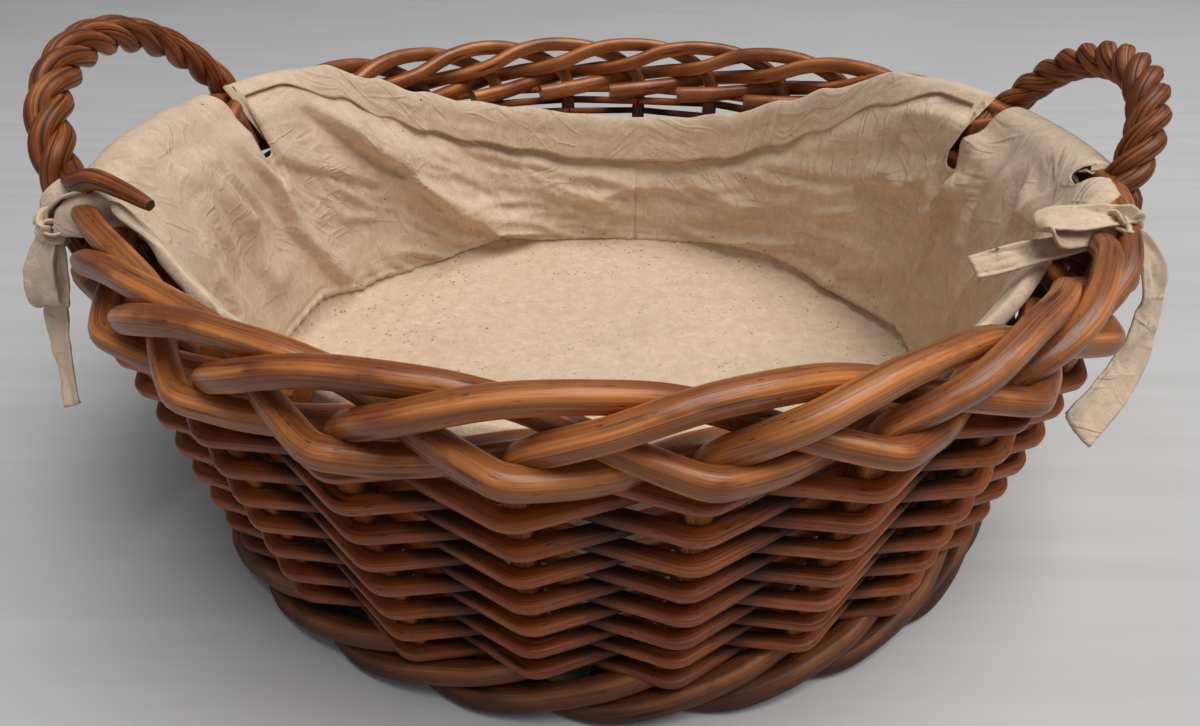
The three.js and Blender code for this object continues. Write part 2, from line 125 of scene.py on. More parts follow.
class LiningSizes(bpy.types.PropertyGroup):
    """Calico lining and its ties"""
    thickness: FloatProperty(
        name="Cloth thickness", description="Thickness of the calico",
        default=0.0009, min=0.0004, max=0.0016, unit="LENGTH")
    tie_width: FloatProperty(
        name="Tie width", description="Width of the ties",
        default=0.026, min=0.012, max=0.04, unit="LENGTH")
    crumple: FloatProperty(
        name="Crumple", description="Height of the small creases",
        default=0.0016, min=0.0, max=0.004, unit="LENGTH")
    cloth_tone: FloatVectorProperty(
        name="Cloth tone", description="Undyed calico",
        subtype="COLOR", default=(0.735, 0.57, 0.42), min=0.0, max=1.0)
    stain_tone: FloatVectorProperty(
        name="Stain tone", description="Calico where it has darkened",
        subtype="COLOR", default=(0.52, 0.385, 0.265), min=0.0, max=1.0)


class StageSizes(bpy.types.PropertyGroup):
    """Floor, light and camera"""
    floor_tone: FloatVectorProperty(
        name="Floor tone", description="Pale floor",
        subtype="COLOR", default=(0.55, 0.555, 0.565), min=0.0, max=1.0)
    lamp_power: FloatProperty(
        name="Lamp power", description="Power of the soft light overhead",
        default=184.0, min=0.0, max=600.0, unit="POWER")


# Node maths written as Python expressions

class Wire:
    """One output socket of a node tree, on which arithmetic adds Math nodes."""

    def __init__(self, board, socket):
        self.board = board
        self.socket = socket

    def __add__(self, other):
        return self.board.maths("ADD", self, other)

    def __radd__(self, other):
        return self.board.maths("ADD", other, self)

    def __sub__(self, other):
        return self.board.maths("SUBTRACT", self, other)

    def __rsub__(self, other):
        return self.board.maths("SUBTRACT", other, self)

    def __mul__(self, other):
        return self.board.maths("MULTIPLY", self, other)

    def __rmul__(self, other):
        return self.board.maths("MULTIPLY", other, self)

    def __pow__(self, other):
        return self.board.maths("POWER", self, other)

    def __abs__(self):
        return self.board.maths("ABSOLUTE", self)


class Board:
    """A node tree that is written one expression at a time."""

    def __init__(self, tree):
        self.tree = tree

    def node(self, kind, settings=None, inputs=None, output=0):
        """Adds a node of a type, sets its settings and then its sockets by identifier."""
        made = self.tree.nodes.new(kind)
        for key, value in (settings or {}).items():
            if key == "stops":
                self._stops(made.color_ramp, value)
            else:
                setattr(made, key, value)
        sockets = {socket.identifier: socket for socket in made.inputs}
        for key, value in (inputs or {}).items():
            self.join(sockets[key], value)
        if isinstance(output, str):
            found = [socket for socket in made.outputs if socket.identifier == output]
            return Wire(self, found[0])
        return Wire(self, made.outputs[output])

    def join(self, socket, value):
        if isinstance(value, Wire):
            self.tree.links.new(value.socket, socket)
        else:
            socket.default_value = value

    def _stops(self, ramp, stops):
        while len(ramp.elements) < len(stops):
            ramp.elements.new(1.0)
        for element, (place, colour) in zip(ramp.elements, stops):
            element.position = place
            element.color = colour

    def maths(self, operation, a, b=0.0):
        return self.node(
            "ShaderNodeMath", {"operation": operation}, {"Value": a, "Value_001": b})

    def vectors(self, operation, a, b):
        return self.node(
            "ShaderNodeVectorMath", {"operation": operation}, {"Vector": a, "Vector_001": b})

    def stretch(self, vector, factors):
        return self.vectors("MULTIPLY", vector, factors)

    def combine(self, x, y, z):
        return self.node("ShaderNodeCombineXYZ", {}, {"X": x, "Y": y, "Z": z})

    def separate(self, vector):
        first = self.node("ShaderNodeSeparateXYZ", {}, {"Vector": vector})
        return [Wire(self, socket) for socket in first.socket.node.outputs]

    def hypotenuse(self, x, y):
        return self.maths("SQRT", x * x + y * y)

    def smooth(self, value, low, high):
        """0 below low, 1 above high and an even rise between them."""
        return self.node(
            "ShaderNodeMapRange", {"interpolation_type": "SMOOTHSTEP"},
            {"Value": value, "From Min": low, "From Max": high})

    def fade(self, value, low, high):
        """1 below low, 0 above high."""
        return 1.0 - self.smooth(value, low, high)

    def noise(self, vector, scale, detail=2.0, roughness=0.5, distortion=0.0):
        return self.node("ShaderNodeTexNoise", {}, {
            "Vector": vector, "Scale": scale, "Detail": detail,
            "Roughness": roughness, "Distortion": distortion})

    def noise_vector(self, vector, scale):
        return self.node("ShaderNodeTexNoise", {}, {"Vector": vector, "Scale": scale}, "Color")

    def cells(self, vector, scale=1.0, feature="F1"):
        """Distance to the nearest of many scattered points, or to the edge of its cell."""
        return self.node(
            "ShaderNodeTexVoronoi", {"feature": feature}, {"Vector": vector, "Scale": scale})

    def ramp(self, factor, stops):
        return self.node("ShaderNodeValToRGB", {"stops": stops}, {"Fac": factor})

    def bump(self, strength, distance, height, **under):
        return self.node("ShaderNodeBump", {}, {
            "Strength": strength, "Distance": distance, "Height": height, **under})

    def blend(self, factor, a, b):
        return self.node(
            "ShaderNodeMix", {"data_type": "RGBA", "blend_type": "MIX", "clamp_factor": True},
            {"Factor_Float": factor, "A_Color": a, "B_Color": b}, "Result_Color")

    def grain(self):
        """Place in a rod's own section and run along it, as the rod's node tree stored it."""
        return self.node("ShaderNodeAttribute", {"attribute_name": "grain"}, {}, "Vector")

    def place(self):
        return self.node("ShaderNodeTexCoord", {}, {}, "Object")


def tone(colour, strength=1.0):
    return (*[min(1.0, strength * c) for c in colour], 1.0)


def new_material(name):
    material = bpy.data.materials.new(name)
    material.use_nodes = True
    return material, Board(material.node_tree)


def finish(material, board, inputs):
    """Sets or links the Principled shader's sockets by their labels."""
    shader = material.node_tree.nodes["Principled BSDF"]
    sockets = {socket.name: socket for socket in shader.inputs}
    for label, value in inputs.items():
        board.join(sockets[label], value)
    return material


# Materials. Lengths are in metres, and scales in repeats to the metre

# Painted shade between the rods: the depths outwards from the weave's middle over which it comes
# and goes, and the heights over which it goes below the border. Then the painted shade next to the
# floor.
HOLLOW_START = (-0.007, -0.003)
HOLLOW_END = (-0.001, 0.0065)
HOLLOW_TOP = (0.13, 0.15)
FLOOR_SHADE = (0.0, 0.05)
FLOOR_SHADE_SHARE = 0.85
BARK_RELIEF = 0.00035
CANE_RELIEF = 0.0003
THREAD_RELIEF = 0.00022
CREASE_RELIEF = 0.0012
DUST_TONE = (0.1, 0.06, 0.03, 1.0)
FLECK_TONE = (0.06, 0.03, 0.015, 1.0)


def wicker_material(name, light, middle, dark, coat, streak_share, ripple, edge, hollow_shade):
    """Varnished rods: streaks along the grain, specks, small knots, pale section corners that are
    partly wear and partly a painted highlight, and painted shade in the hollows of the weave and
    next to the floor. edge is where the section's corners begin."""
    material, board = new_material(name)
    grain = board.grain()
    across_x, across_y, run = board.separate(grain)
    place = board.place()

    streaks = board.noise(board.stretch(grain, (1700.0, 1700.0, 13.0)), 1.0, 4.0, 0.6, 0.4)
    bands = board.noise(board.stretch(grain, (330.0, 330.0, 9.0)), 1.0, 2.0, 0.5, 0.3)
    patches = board.noise(place, 26.0, 3.0, 0.55)
    rod_tone = board.noise(board.combine(0.0, 0.0, run * 2.4), 1.0, 1.0)
    split = board.noise(board.stretch(grain, (2600.0, 2600.0, 60.0)), 1.0, 2.0, 0.7)
    cracks = board.smooth(split, 0.62, 0.72)
    specks = board.fade(board.cells(board.stretch(grain, (420.0, 420.0, 110.0))), 0.06, 0.2)
    knots = board.fade(board.cells(board.stretch(grain, (150.0, 150.0, 17.0))), 0.08, 0.22)

    paleness = board.smooth(
        streaks * streak_share + bands * 0.22 + patches * 0.45 + rod_tone * 0.5, 0.6, 1.28)
    between = [0.62 * a + 0.38 * b for a, b in zip(middle, light)]
    base = board.ramp(paleness, [
        (0.0, tone(middle, 0.55)), (0.36, tone(middle)), (0.72, tone(between)),
        (1.0, tone(light, 0.9))])
    streaked = board.blend(cracks * 0.55, base, tone(dark))
    specked = board.blend(specks * 0.7, streaked, tone(dark))
    knotted = board.blend(knots * 0.8, specked, tone(dark, 0.7))

    out = board.hypotenuse(across_x, across_y)
    # Pale section corners: partly wear, partly a painted highlight along the rods' edges
    worn = board.smooth(out, edge, edge * 1.05) * board.smooth(patches + bands * 0.3, 0.5, 0.78)
    worn_and_highlit = board.blend(worn * 0.8, knotted, tone(light, 1.5))
    x, y, height_up = board.separate(place)
    wall = STAKE_FOOT_RADIUS * MM + (height_up - LOWEST_COURSE * MM) * WALL_SLOPE
    depth = board.hypotenuse(x, y) - wall
    # Painted shade: darker where the surface lies in the hollows of the weave, fading out below
    # the border
    shaded_hollow = board.smooth(depth, *HOLLOW_START) * board.fade(depth, *HOLLOW_END)
    shaded_hollow = shaded_hollow * board.fade(height_up, *HOLLOW_TOP)
    # Painted shade in the weave's hollows and next to the floor; those parts are also made rougher
    # and less coated
    painted_shade = board.maths(
        "MAXIMUM", shaded_hollow * hollow_shade, board.fade(height_up, *FLOOR_SHADE) * FLOOR_SHADE_SHARE)
    height = streaks * 0.55 + bands * ripple - cracks * 0.6 - specks * 0.5 + knots * 0.8
    return finish(material, board, {
        "Base Color": board.blend(painted_shade, worn_and_highlit, tone(dark, 0.5)),
        "Roughness": 0.34 + 0.22 * patches + 0.15 * cracks + 0.3 * painted_shade,
        "Normal": board.bump(0.75, BARK_RELIEF, height),
        "Coat Weight": coat * (1.0 - painted_shade), "Coat Roughness": 0.22,
        "Specular IOR Level": 0.35})


def cane_material(name, light, middle, dark, radius, groove):
    """Twisted cane: as the rods, with painted shade in the grooves between the canes."""
    material, board = new_material(name)
    grain = board.grain()
    across_x, across_y, _ = board.separate(grain)
    out = board.hypotenuse(across_x, across_y)
    # Painted shade in the grooves between the canes
    shaded_hollow = board.fade(out, radius * (1.0 - 0.95 * groove), radius * (1.0 - 0.2 * groove))
    streaks = board.noise(board.stretch(grain, (1400.0, 1400.0, 30.0)), 1.0, 4.0, 0.6, 0.3)
    patches = board.noise(board.place(), 34.0, 3.0, 0.55)
    split = board.noise(board.stretch(grain, (2300.0, 2300.0, 45.0)), 1.0, 2.0, 0.7)
    cracks = board.smooth(split, 0.6, 0.7)
    spots = board.fade(board.cells(board.stretch(grain, (380.0, 380.0, 140.0))), 0.06, 0.2)
    paleness = board.smooth(streaks * 0.8 + patches * 0.6, 0.45, 1.0)
    base = board.ramp(
        paleness, [(0.0, tone(middle, 0.6)), (0.45, tone(middle)), (1.0, tone(light))])
    grooved = board.blend(shaded_hollow * 0.88, base, tone(dark))
    streaked = board.blend(cracks * 0.45, grooved, tone(dark))
    return finish(material, board, {
        "Base Color": board.blend(spots * 0.5, streaked, tone(dark)),
        "Roughness": 0.36 + 0.25 * patches + 0.2 * shaded_hollow,
        "Normal": board.bump(0.7, CANE_RELIEF, streaks * 0.6 - cracks * 0.5),
        "Coat Weight": 0.15, "Coat Roughness": 0.3, "Specular IOR Level": 0.25})


def wrinkles(board, threads, turn, seed):
    """Long thin crests at one slope across the cloth, here and there."""
    u, v, _ = board.separate(threads)
    along = u * math.cos(turn) + v * math.sin(turn)
    over = v * math.cos(turn) - u * math.sin(turn)
    lines = board.noise(board.combine(along * 11.0, over * 62.0, seed), 1.0, 2.0, 0.5, 0.5)
    where = board.noise(board.combine(u * 15.0, v * 15.0, seed + 3.0), 1.0, 1.0)
    return board.fade(abs(lines - 0.5), 0.0, 0.075) * board.smooth(where, 0.46, 0.6)


def calico_material(name, cloth, stain):
    """Undyed calico: thread slubs both ways, soft stains, small dark flecks and fine creases, with
    painted shade along the creases.
    """
    material, board = new_material(name)
    place = board.place()
    threads = board.node("ShaderNodeUVMap", {"uv_map": "threads"}, {})
    weft = board.noise(board.stretch(threads, (90.0, 1500.0, 1.0)), 1.0, 2.0, 0.6)
    warp = board.noise(board.stretch(threads, (1500.0, 90.0, 1.0)), 1.0, 2.0, 0.6)
    slubs = weft * 0.5 + warp * 0.5
    soft_stain = board.smooth(board.noise(place, 17.0, 5.0, 0.7, 0.5), 0.44, 0.72)
    small_stain = board.smooth(board.noise(place, 130.0, 4.0, 0.7), 0.46, 0.62)
    chosen = board.smooth(board.noise(place, 60.0, 1.0), 0.66, 0.72)
    flecks = board.fade(board.cells(place, 150.0), 0.09, 0.17) * chosen
    x, y, height_up = board.separate(place)
    low_down = board.fade(height_up, 0.03, 0.06)
    near_seam = board.smooth(board.hypotenuse(x, y), 0.09, 0.2)
    gathered = board.smooth(board.noise(place, 45.0, 2.0), 0.46, 0.6)
    dust = board.fade(board.cells(place, 210.0), 0.12, 0.26) * gathered * (
        0.2 + low_down * (0.3 + 0.5 * near_seam))

    grainy = slubs * 0.4 + board.noise(place, 260.0, 4.0, 0.75) * 0.6
    mottled = board.blend(board.smooth(grainy, 0.4, 0.6), tone(cloth, 0.84), tone(cloth, 1.06))
    stained = board.blend(soft_stain * 0.22 + small_stain * 0.36, mottled, tone(stain))
    dusty = board.blend(dust * 0.8, stained, DUST_TONE)
    flecked = board.blend(flecks * 0.85, dusty, FLECK_TONE)

    stray = board.stretch(board.noise_vector(place, 16.0), (0.03, 0.03, 0.03))
    wandering = board.vectors("ADD", board.stretch(place, (0.7, 0.7, 1.5)), stray)
    edges = board.cells(wandering, 24.0, "DISTANCE_TO_EDGE")
    crests = board.fade(edges, 0.0, 0.05) * board.smooth(
        board.noise(place, 27.0, 1.0), 0.5, 0.66)
    rising = wrinkles(board, threads, 0.6, 1.7)
    falling = wrinkles(board, threads, -0.35, 6.1)
    upright = wrinkles(board, threads, 1.35, 9.4)
    fine_crests = board.maths("MAXIMUM", board.maths("MAXIMUM", rising, falling), upright)
    fine_crests = fine_crests * (1.0 - 0.75 * low_down)
    creases = crests * 0.4 + fine_crests * 0.5 + board.noise(place, 95.0, 4.0, 0.65) * 0.9
    # Painted shade along the crests of the creases
    crease_shade = board.maths("MAXIMUM", crests, fine_crests * 0.7)
    fine = board.bump(0.5, THREAD_RELIEF, slubs)
    return finish(material, board, {
        "Base Color": board.blend(crease_shade * 0.14, flecked, tone(cloth, 0.55)),
        "Roughness": 0.86 + 0.1 * slubs,
        "Normal": board.bump(0.8, CREASE_RELIEF, creases, Normal=fine),
        "Sheen Weight": 0.15, "Sheen Roughness": 0.5, "Specular IOR Level": 0.2})


def floor_material(name, colour):
    """Pale painted floor with faint brush streaks."""
    material, board = new_material(name)
    place = board.place()
    streaks = board.noise(board.stretch(place, (3.0, 45.0, 1.0)), 1.0, 4.0, 0.6, 0.3)
    patches = board.noise(place, 3.5, 3.0, 0.5)
    worn = board.smooth(streaks * 0.7 + patches * 0.3, 0.35, 0.65)
    return finish(material, board, {
        "Base Color": board.blend(worn, tone(colour, 0.93), tone(colour)),
        "Roughness": 0.5 + 0.15 * streaks})


# Rods that follow a path

def on_basket(pitches, radius, height):
    """A point in metres from an angle in pitches, a distance from the axis and a height in mm."""
    angle = pitches * PITCH
    return Vector((radius * math.cos(angle), radius * math.sin(angle), height)) * MM


def wall_radius(height):
    """Distance of the stakes' middle from the axis, at a height in the wall."""
    return STAKE_FOOT_RADIUS + (height - LOWEST_COURSE) * WALL_SLOPE


def smooth_path(points, spacing):
    """Points at an even spacing on a smooth curve through the given ones."""
    ends = [2 * points[0] - points[1], *points, 2 * points[-1] - points[-2]]
    dense = []
    for before, start, end, after in zip(ends, ends[1:], ends[2:], ends[3:]):
        knots = [0.0]
        for a, b in ((before, start), (start, end), (end, after)):
            knots.append(knots[-1] + max((b - a).length, 1e-6) ** 0.5)
        t0, t1, t2, t3 = knots
        steps = max(2, int((end - start).length / spacing * 2))
        for step in range(steps):
            t = t1 + (t2 - t1) * step / steps
            a1 = before * ((t1 - t) / (t1 - t0)) + start * ((t - t0) / (t1 - t0))
            a2 = start * ((t2 - t) / (t2 - t1)) + end * ((t - t1) / (t2 - t1))
            a3 = end * ((t3 - t) / (t3 - t2)) + after * ((t - t2) / (t3 - t2))
            b1 = a1 * ((t2 - t) / (t2 - t0)) + a2 * ((t - t0) / (t2 - t0))
            b2 = a2 * ((t3 - t) / (t3 - t1)) + a3 * ((t - t1) / (t3 - t1))
            dense.append(b1 * ((t2 - t) / (t2 - t1)) + b2 * ((t - t1) / (t2 - t1)))
    dense.append(points[-1].copy())
    return evenly_spaced(dense, spacing)


def evenly_spaced(points, spacing):
    """Points on the same line of straight steps, one spacing apart."""
    places = np.array([tuple(point) for point in points])
    steps = np.linalg.norm(np.diff(places, axis=0), axis=1)
    runs = np.concatenate(([0.0], np.cumsum(steps)))
    count = max(2, int(round(runs[-1] / spacing)) + 1)
    wanted = np.linspace(0.0, runs[-1], count)
    columns = [np.interp(wanted, runs, places[:, axis]) for axis in range(3)]
    return [Vector(row) for row in np.stack(columns, axis=1)]


def outwards(point):
    """Level direction from the basket's axis to a point."""
    return Vector((point.x, point.y, 0)).normalized()


def directions(points):
    """The path's own direction at each of its points."""
    made = []
    for i in range(len(points)):
        before = points[max(i - 1, 0)]
        after = points[min(i + 1, len(points) - 1)]
        made.append((after - before).normalized())
    return made


def outward_sides(points, lean=0.0):
    """The section's side direction, square to the path and out from the axis."""
    sides = []
    for point, direction in zip(points, directions(points)):
        out = outwards(point) * math.cos(lean) - Vector((0, 0, math.sin(lean)))
        sides.append((out - direction * out.dot(direction)).normalized())
    return sides


def carried_sides(points, first, turns_per_metre=0.0):
    """The section's side direction, carried along the path and turned slowly about it."""
    along = directions(points)
    side = first
    turned = []
    run = 0.0
    for i, direction in enumerate(along):
        side = (side - direction * side.dot(direction)).normalized()
        if i:
            run += (points[i] - points[i - 1]).length
        angle = 2 * math.pi * turns_per_metre * run
        other = direction.cross(side)
        turned.append(side * math.cos(angle) + other * math.sin(angle))
    return turned


def path_carrier(name, points, sides, thicks, run_start):
    """A row of edges along the path that carries what the rod's node tree reads."""
    mesh = bpy.data.meshes.new(name)
    mesh.from_pydata([tuple(p) for p in points], [(i, i + 1) for i in range(len(points) - 1)], [])
    runs = [run_start]
    for a, b in zip(points, points[1:]):
        runs.append(runs[-1] + (b - a).length)
    mesh.attributes.new("run", "FLOAT", "POINT").data.foreach_set("value", runs)
    mesh.attributes.new("thick", "FLOAT", "POINT").data.foreach_set("value", thicks)
    flat = [value for side in sides for value in side]
    mesh.attributes.new("side", "FLOAT_VECTOR", "POINT").data.foreach_set("vector", flat)
    carrier = bpy.data.objects.new(name, mesh)
    bpy.context.scene.collection.objects.link(carrier)
    return carrier


def rod_tree():
    """Node tree: a section of chosen form, swept along the carrier's path."""
    tree = bpy.data.node_groups.new("rod_along_path", "GeometryNodeTree")
    tree.is_modifier = True
    faces = tree.interface
    faces.new_socket("Geometry", in_out="OUTPUT", socket_type="NodeSocketGeometry")
    faces.new_socket("Geometry", in_out="INPUT", socket_type="NodeSocketGeometry")
    wanted = [
        ("Half Across", "NodeSocketFloat", 0.005), ("Half High", "NodeSocketFloat", 0.005),
        ("Squareness", "NodeSocketFloat", 1.0), ("Canes", "NodeSocketInt", 1),
        ("Groove", "NodeSocketFloat", 0.0), ("Sides", "NodeSocketInt", 14),
        ("Wander", "NodeSocketFloat", 0.0), ("Wander Scale", "NodeSocketFloat", 20.0),
        ("Seed", "NodeSocketFloat", 0.0), ("Finish", "NodeSocketMaterial", None),
    ]
    for label, kind, value in wanted:
        socket = faces.new_socket(label, in_out="INPUT", socket_type=kind)
        if value is not None:
            socket.default_value = value
    board = Board(tree)

    def named(kind, name):
        return board.node("GeometryNodeInputNamedAttribute", {"data_type": kind}, {"Name": name})

    def stored(geometry, name, value):
        return board.node("GeometryNodeStoreNamedAttribute", {
            "data_type": "FLOAT_VECTOR", "domain": "POINT"}, {
            "Geometry": geometry, "Name": name, "Value": value})

    entry = tree.nodes.new("NodeGroupInput")
    given = {socket.name: Wire(board, socket) for socket in entry.outputs if socket.name}
    leave = tree.nodes.new("NodeGroupOutput")

    path = board.node("GeometryNodeMeshToCurve", {}, {"Mesh": given["Geometry"]})
    position = board.node("GeometryNodeInputPosition")
    stray = board.node("ShaderNodeTexNoise", {"noise_dimensions": "4D"}, {
        "Vector": position, "W": given["Seed"], "Scale": given["Wander Scale"], "Detail": 1.0},
        "Color")
    centred = board.vectors("SUBTRACT", stray, (0.5, 0.5, 0.5))
    shift = board.node("ShaderNodeVectorMath", {"operation": "SCALE"}, {
        "Vector": centred, "Scale": given["Wander"] * 3.0})
    wandered = board.node("GeometryNodeSetPosition", {}, {"Geometry": path, "Offset": shift})
    turned = board.node("GeometryNodeSetCurveNormal", {"mode": "FREE"}, {
        "Curve": wandered, "Normal": named("FLOAT_VECTOR", "side")})

    ring = board.node("GeometryNodeCurvePrimitiveCircle", {}, {
        "Resolution": given["Sides"], "Radius": 1.0})
    x, y, _ = board.separate(position)
    angle = board.maths("ARCTAN2", y, x)
    bulge = abs(board.maths("COSINE", angle * given["Canes"] * 0.5)) ** 0.55
    ridged = 1.0 - given["Groove"] * (1.0 - bulge)
    wide = board.maths("SIGN", x) * abs(x) ** given["Squareness"]
    high = board.maths("SIGN", y) * abs(y) ** given["Squareness"]
    form = board.combine(
        wide * ridged * given["Half High"], high * ridged * given["Half Across"], 0.0)
    section = board.node("GeometryNodeSetPosition", {}, {"Geometry": ring, "Position": form})
    swept = board.node("GeometryNodeCurveToMesh", {}, {
        "Curve": turned, "Profile Curve": stored(section, "section", position),
        "Scale": named("FLOAT", "thick"), "Fill Caps": True})
    section_x, section_y, _ = board.separate(named("FLOAT_VECTOR", "section"))
    grain = board.combine(section_x, section_y, named("FLOAT", "run"))
    grained = stored(swept, "grain", grain)
    rounded = board.node("GeometryNodeSetShadeSmooth", {}, {"Geometry": grained})
    plain = board.node("GeometryNodeRealizeInstances", {}, {"Geometry": rounded})
    finished = board.node("GeometryNodeSetMaterial", {}, {
        "Geometry": plain, "Material": given["Finish"]})
    tree.links.new(finished.socket, leave.inputs[0])
    return tree


def made_plain(carrier, tree, values):
    """Runs a node tree on the carrier and keeps the result as the piece's own mesh."""
    modifier = carrier.modifiers.new("rod", "NODES")
    modifier.node_group = tree
    names = {}
    for item in tree.interface.items_tree:
        if item.item_type == "SOCKET" and item.in_out == "INPUT":
            names[item.name] = item.identifier
    for label, value in values.items():
        modifier[names[label]] = value
    depsgraph = bpy.context.evaluated_depsgraph_get()
    depsgraph.update()
    mesh = bpy.data.meshes.new_from_object(carrier.evaluated_get(depsgraph), depsgraph=depsgraph)
    carrier.modifiers.clear()
    old = carrier.data
    carrier.data = mesh
    bpy.data.meshes.remove(old)
    for unused in ("section", "thick", "side", "run"):
        attribute = mesh.attributes.get(unused)
        if attribute is not None:
            mesh.attributes.remove(attribute)
    if len(mesh.polygons) == 0:
        raise RuntimeError(f"{carrier.name}: the rod came out empty")
    return carrier


def settle(piece, node):
    """The piece stands for a CAD node, whose part it hides, and rides on the one body."""
    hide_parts(node)
    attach(piece, "root")


def make_rod(name, node, path, sizes, sharpness=ROD_SHARPNESS):
    """One rod. path holds its points, sides and thicks and where its grain starts."""
    tree = bpy.data.node_groups.get("rod_along_path") or rod_tree()
    carrier = made_plain(path_carrier(name, *path), tree, sizes)
    carrier.data.set_sharp_from_angle(angle=math.radians(sharpness))
    settle(carrier, node)


def shared_material(name):
    """The material of that name, made the first time that a piece asks for it."""
    found = bpy.data.materials.get(name)
    if found is not None:
        return found
    wicker = bpy.context.scene.basket_wicker
    handles = bpy.context.scene.basket_handles
    lining = bpy.context.scene.basket_lining
    light, middle, dark = wicker.light_tone, wicker.middle_tone, wicker.dark_tone
    if name == "varnished_stakes":
        return wicker_material(
            name, light, middle, dark, coat=0.35, streak_share=0.7, ripple=0.6,
            edge=0.51 * wicker.stake_diameter, hollow_shade=0.9)
    if name == "varnished_split_rods":
        return wicker_material(
            name, [0.95 * light[0], 0.72 * light[1], 0.48 * light[2]],
            [middle[0], 0.68 * middle[1], 0.32 * middle[2]], dark, coat=0.1,
            streak_share=0.8, ripple=0.8, edge=0.56 * wicker.weaver_height, hollow_shade=0.93)
    if name == "varnished_cane":
        return cane_material(
            name, light, middle, dark, handles.strand_diameter / 2, handles.groove)
    if name == "undyed_calico":
        return calico_material(name, lining.cloth_tone, lining.stain_tone)
    raise RuntimeError(f"no material called {name}")


# A rod's swellings: how many, how narrow and how high as a share of its thickness. Then the
# slow waves of thickness along it.
SWELLINGS = 3
SWELLING_NARROWNESS = 60
SWELLING_HEIGHT = 0.035
THICKNESS_WAVES = 7
# First seed of each kind of rod, and where its grain starts in metres with the step to the next
THICK_SEEDS = {
    "stake": 100, "base_stick": 300, "base_weaver": 330, "strand": 400, "weaver": 700}
BEND_SEED = 500
GRAIN_STARTS = {
    "stake": (0, 3.1), "weaver": (90, 5.3), "base_stick": (200, 3.3), "base_weaver": (260, 9),
    "strand": (320, 4.1)}
HAND_GRAIN_STEP = 20


def wood_thicks(count, seed, spread, taper=0.0):
    """Slow changes of a rod's thickness, with a small swelling here and there."""
    dice = random.Random(seed)
    phase = dice.uniform(0, 50)
    knots = [dice.uniform(0.1, 0.9) for _ in range(SWELLINGS)]
    thicks = []
    for i in range(count):
        share = i / (count - 1)
        swell = sum(math.exp(-((share - knot) * SWELLING_NARROWNESS) ** 2) for knot in knots)
        wave = noise.noise((share * THICKNESS_WAVES + phase, 0.3, 0.7))
        thicks.append(1.0 + spread * wave + SWELLING_HEIGHT * swell - taper * share)
    return thicks


def grain_start(kind, number):
    first, step = GRAIN_STARTS[kind]
    return first + step * number


# Side stakes: foot border, wall and top border in one rod

# Pitches from the stake's foot, then the distance outwards from the border's ring and up from
# the highest course, both in the share unit
BORDER_SHARES = [
    (0, 0.74, 0.8), (0, 0.84, 1.6), (0.035, 0.92, 2.15), (0.12, 1.15, 2.62), (0.28, 1.46, 3.2),
    (0.5, 1.6, 3.78), (0.75, 1.42, 4.25), (1, 1.12, 4.48), (1.35, 0.8, 4.5), (1.7, 0.36, 4.15),
    (1.98, 0.02, 3.56), (2.1, 0.02, 3.3), (2.34, 0.44, 2.88), (2.6, 1.1, 2.56),
    (2.9, 1.81, 2.16), (2.97, 1.95, 2.08), (3.03, 1.95, 2.01), (3.1, 1.8, 1.93),
    (3.38, 1.18, 1.67), (3.66, 0.4, 1.5), (3.95, -0.45, 1.38), (4.2, -0.85, 1.28),
    (4.42, -1.05, 1.2),
]
# The same, from the foot's ring and the floor
FOOT_SHARES = [
    (-2.62, -1, 0), (-2.2, -0.5, 0), (-1.8, 0.2, 0.01), (-1.5, 0.6, 0.13), (-1.15, 0.7, 0.58),
    (-0.85, 0.62, 1), (-0.5, 0.42, 1.38), (-0.21, 0.12, 1.78), (0, -0.07, 2.3),
]
STAKE_HEIGHTS = (36.0, 70.0, 104.0, HIGHEST_COURSE)  # in the wall
# Towards its thick end a stake swells, over the last share of its length
BUTT_START = 0.78
BUTT_SWELL = 0.2


def on_border(foot, shares):
    """Points near the border, from shares that start at a foot's place in pitches."""
    return [
        on_basket(
            foot + pitches, BORDER_RADIUS + SHARE_UNIT * out, HIGHEST_COURSE + SHARE_UNIT * up)
        for pitches, out, up in shares
    ]


def stake_path(stake):
    """From the foot border up the wall and round the top border."""
    points = [
        on_basket(
            stake + pitches, STAKE_FOOT_RADIUS + SHARE_UNIT * out,
            FLOOR_STAKE_HEIGHT + SHARE_UNIT * up)
        for pitches, out, up in FOOT_SHARES
    ]
    for height in STAKE_HEIGHTS:
        points.append(on_basket(stake, wall_radius(height), height))
    return points + on_border(stake, BORDER_SHARES)


class BASKET_OT_make_stakes(bpy.types.Operator):
    """Make the side stakes, whose ends are the top border and the foot border"""
    bl_idname = "basket.make_stakes"
    bl_label = "Make stakes"

    def execute(self, context):
        sizes = context.scene.basket_wicker
        for stake in range(STAKE_COUNT):
            points = smooth_path(stake_path(stake), FINE_SPACING)
            thicks = wood_thicks(len(points), THICK_SEEDS["stake"] + stake, 0.1, 0.04)
            for i in range(len(thicks)):
                butt = max(0.0, i / (len(thicks) - 1) - BUTT_START) / (1 - BUTT_START)
                thicks[i] *= 1 + BUTT_SWELL * butt ** 1.5
            sides = carried_sides(points, outwards(points[0]))
            path = (points, sides, thicks, grain_start("stake", stake))
            make_rod(f"wicker_stake_{stake + 1:02d}", f"stake_{stake + 1:02d}", path, {
                "Half Across": sizes.stake_diameter / 2, "Half High": sizes.stake_diameter / 2,
                "Squareness": 0.8, "Sides": 16, "Wander": sizes.wander, "Wander Scale": 18.0,
                "Seed": 10.0 + stake, "Finish": shared_material("varnished_stakes")})
        return {"FINISHED"}


# Wall weave: over one stake and under the next

JITTER_UP = 0.45
JITTER_OUT = 0.5
JITTER_ROUND = 0.012  # in pitches
BEND_STEPS = 7
WANDER_ROOM = 0.9  # more between weaver and stake, for the wander of both


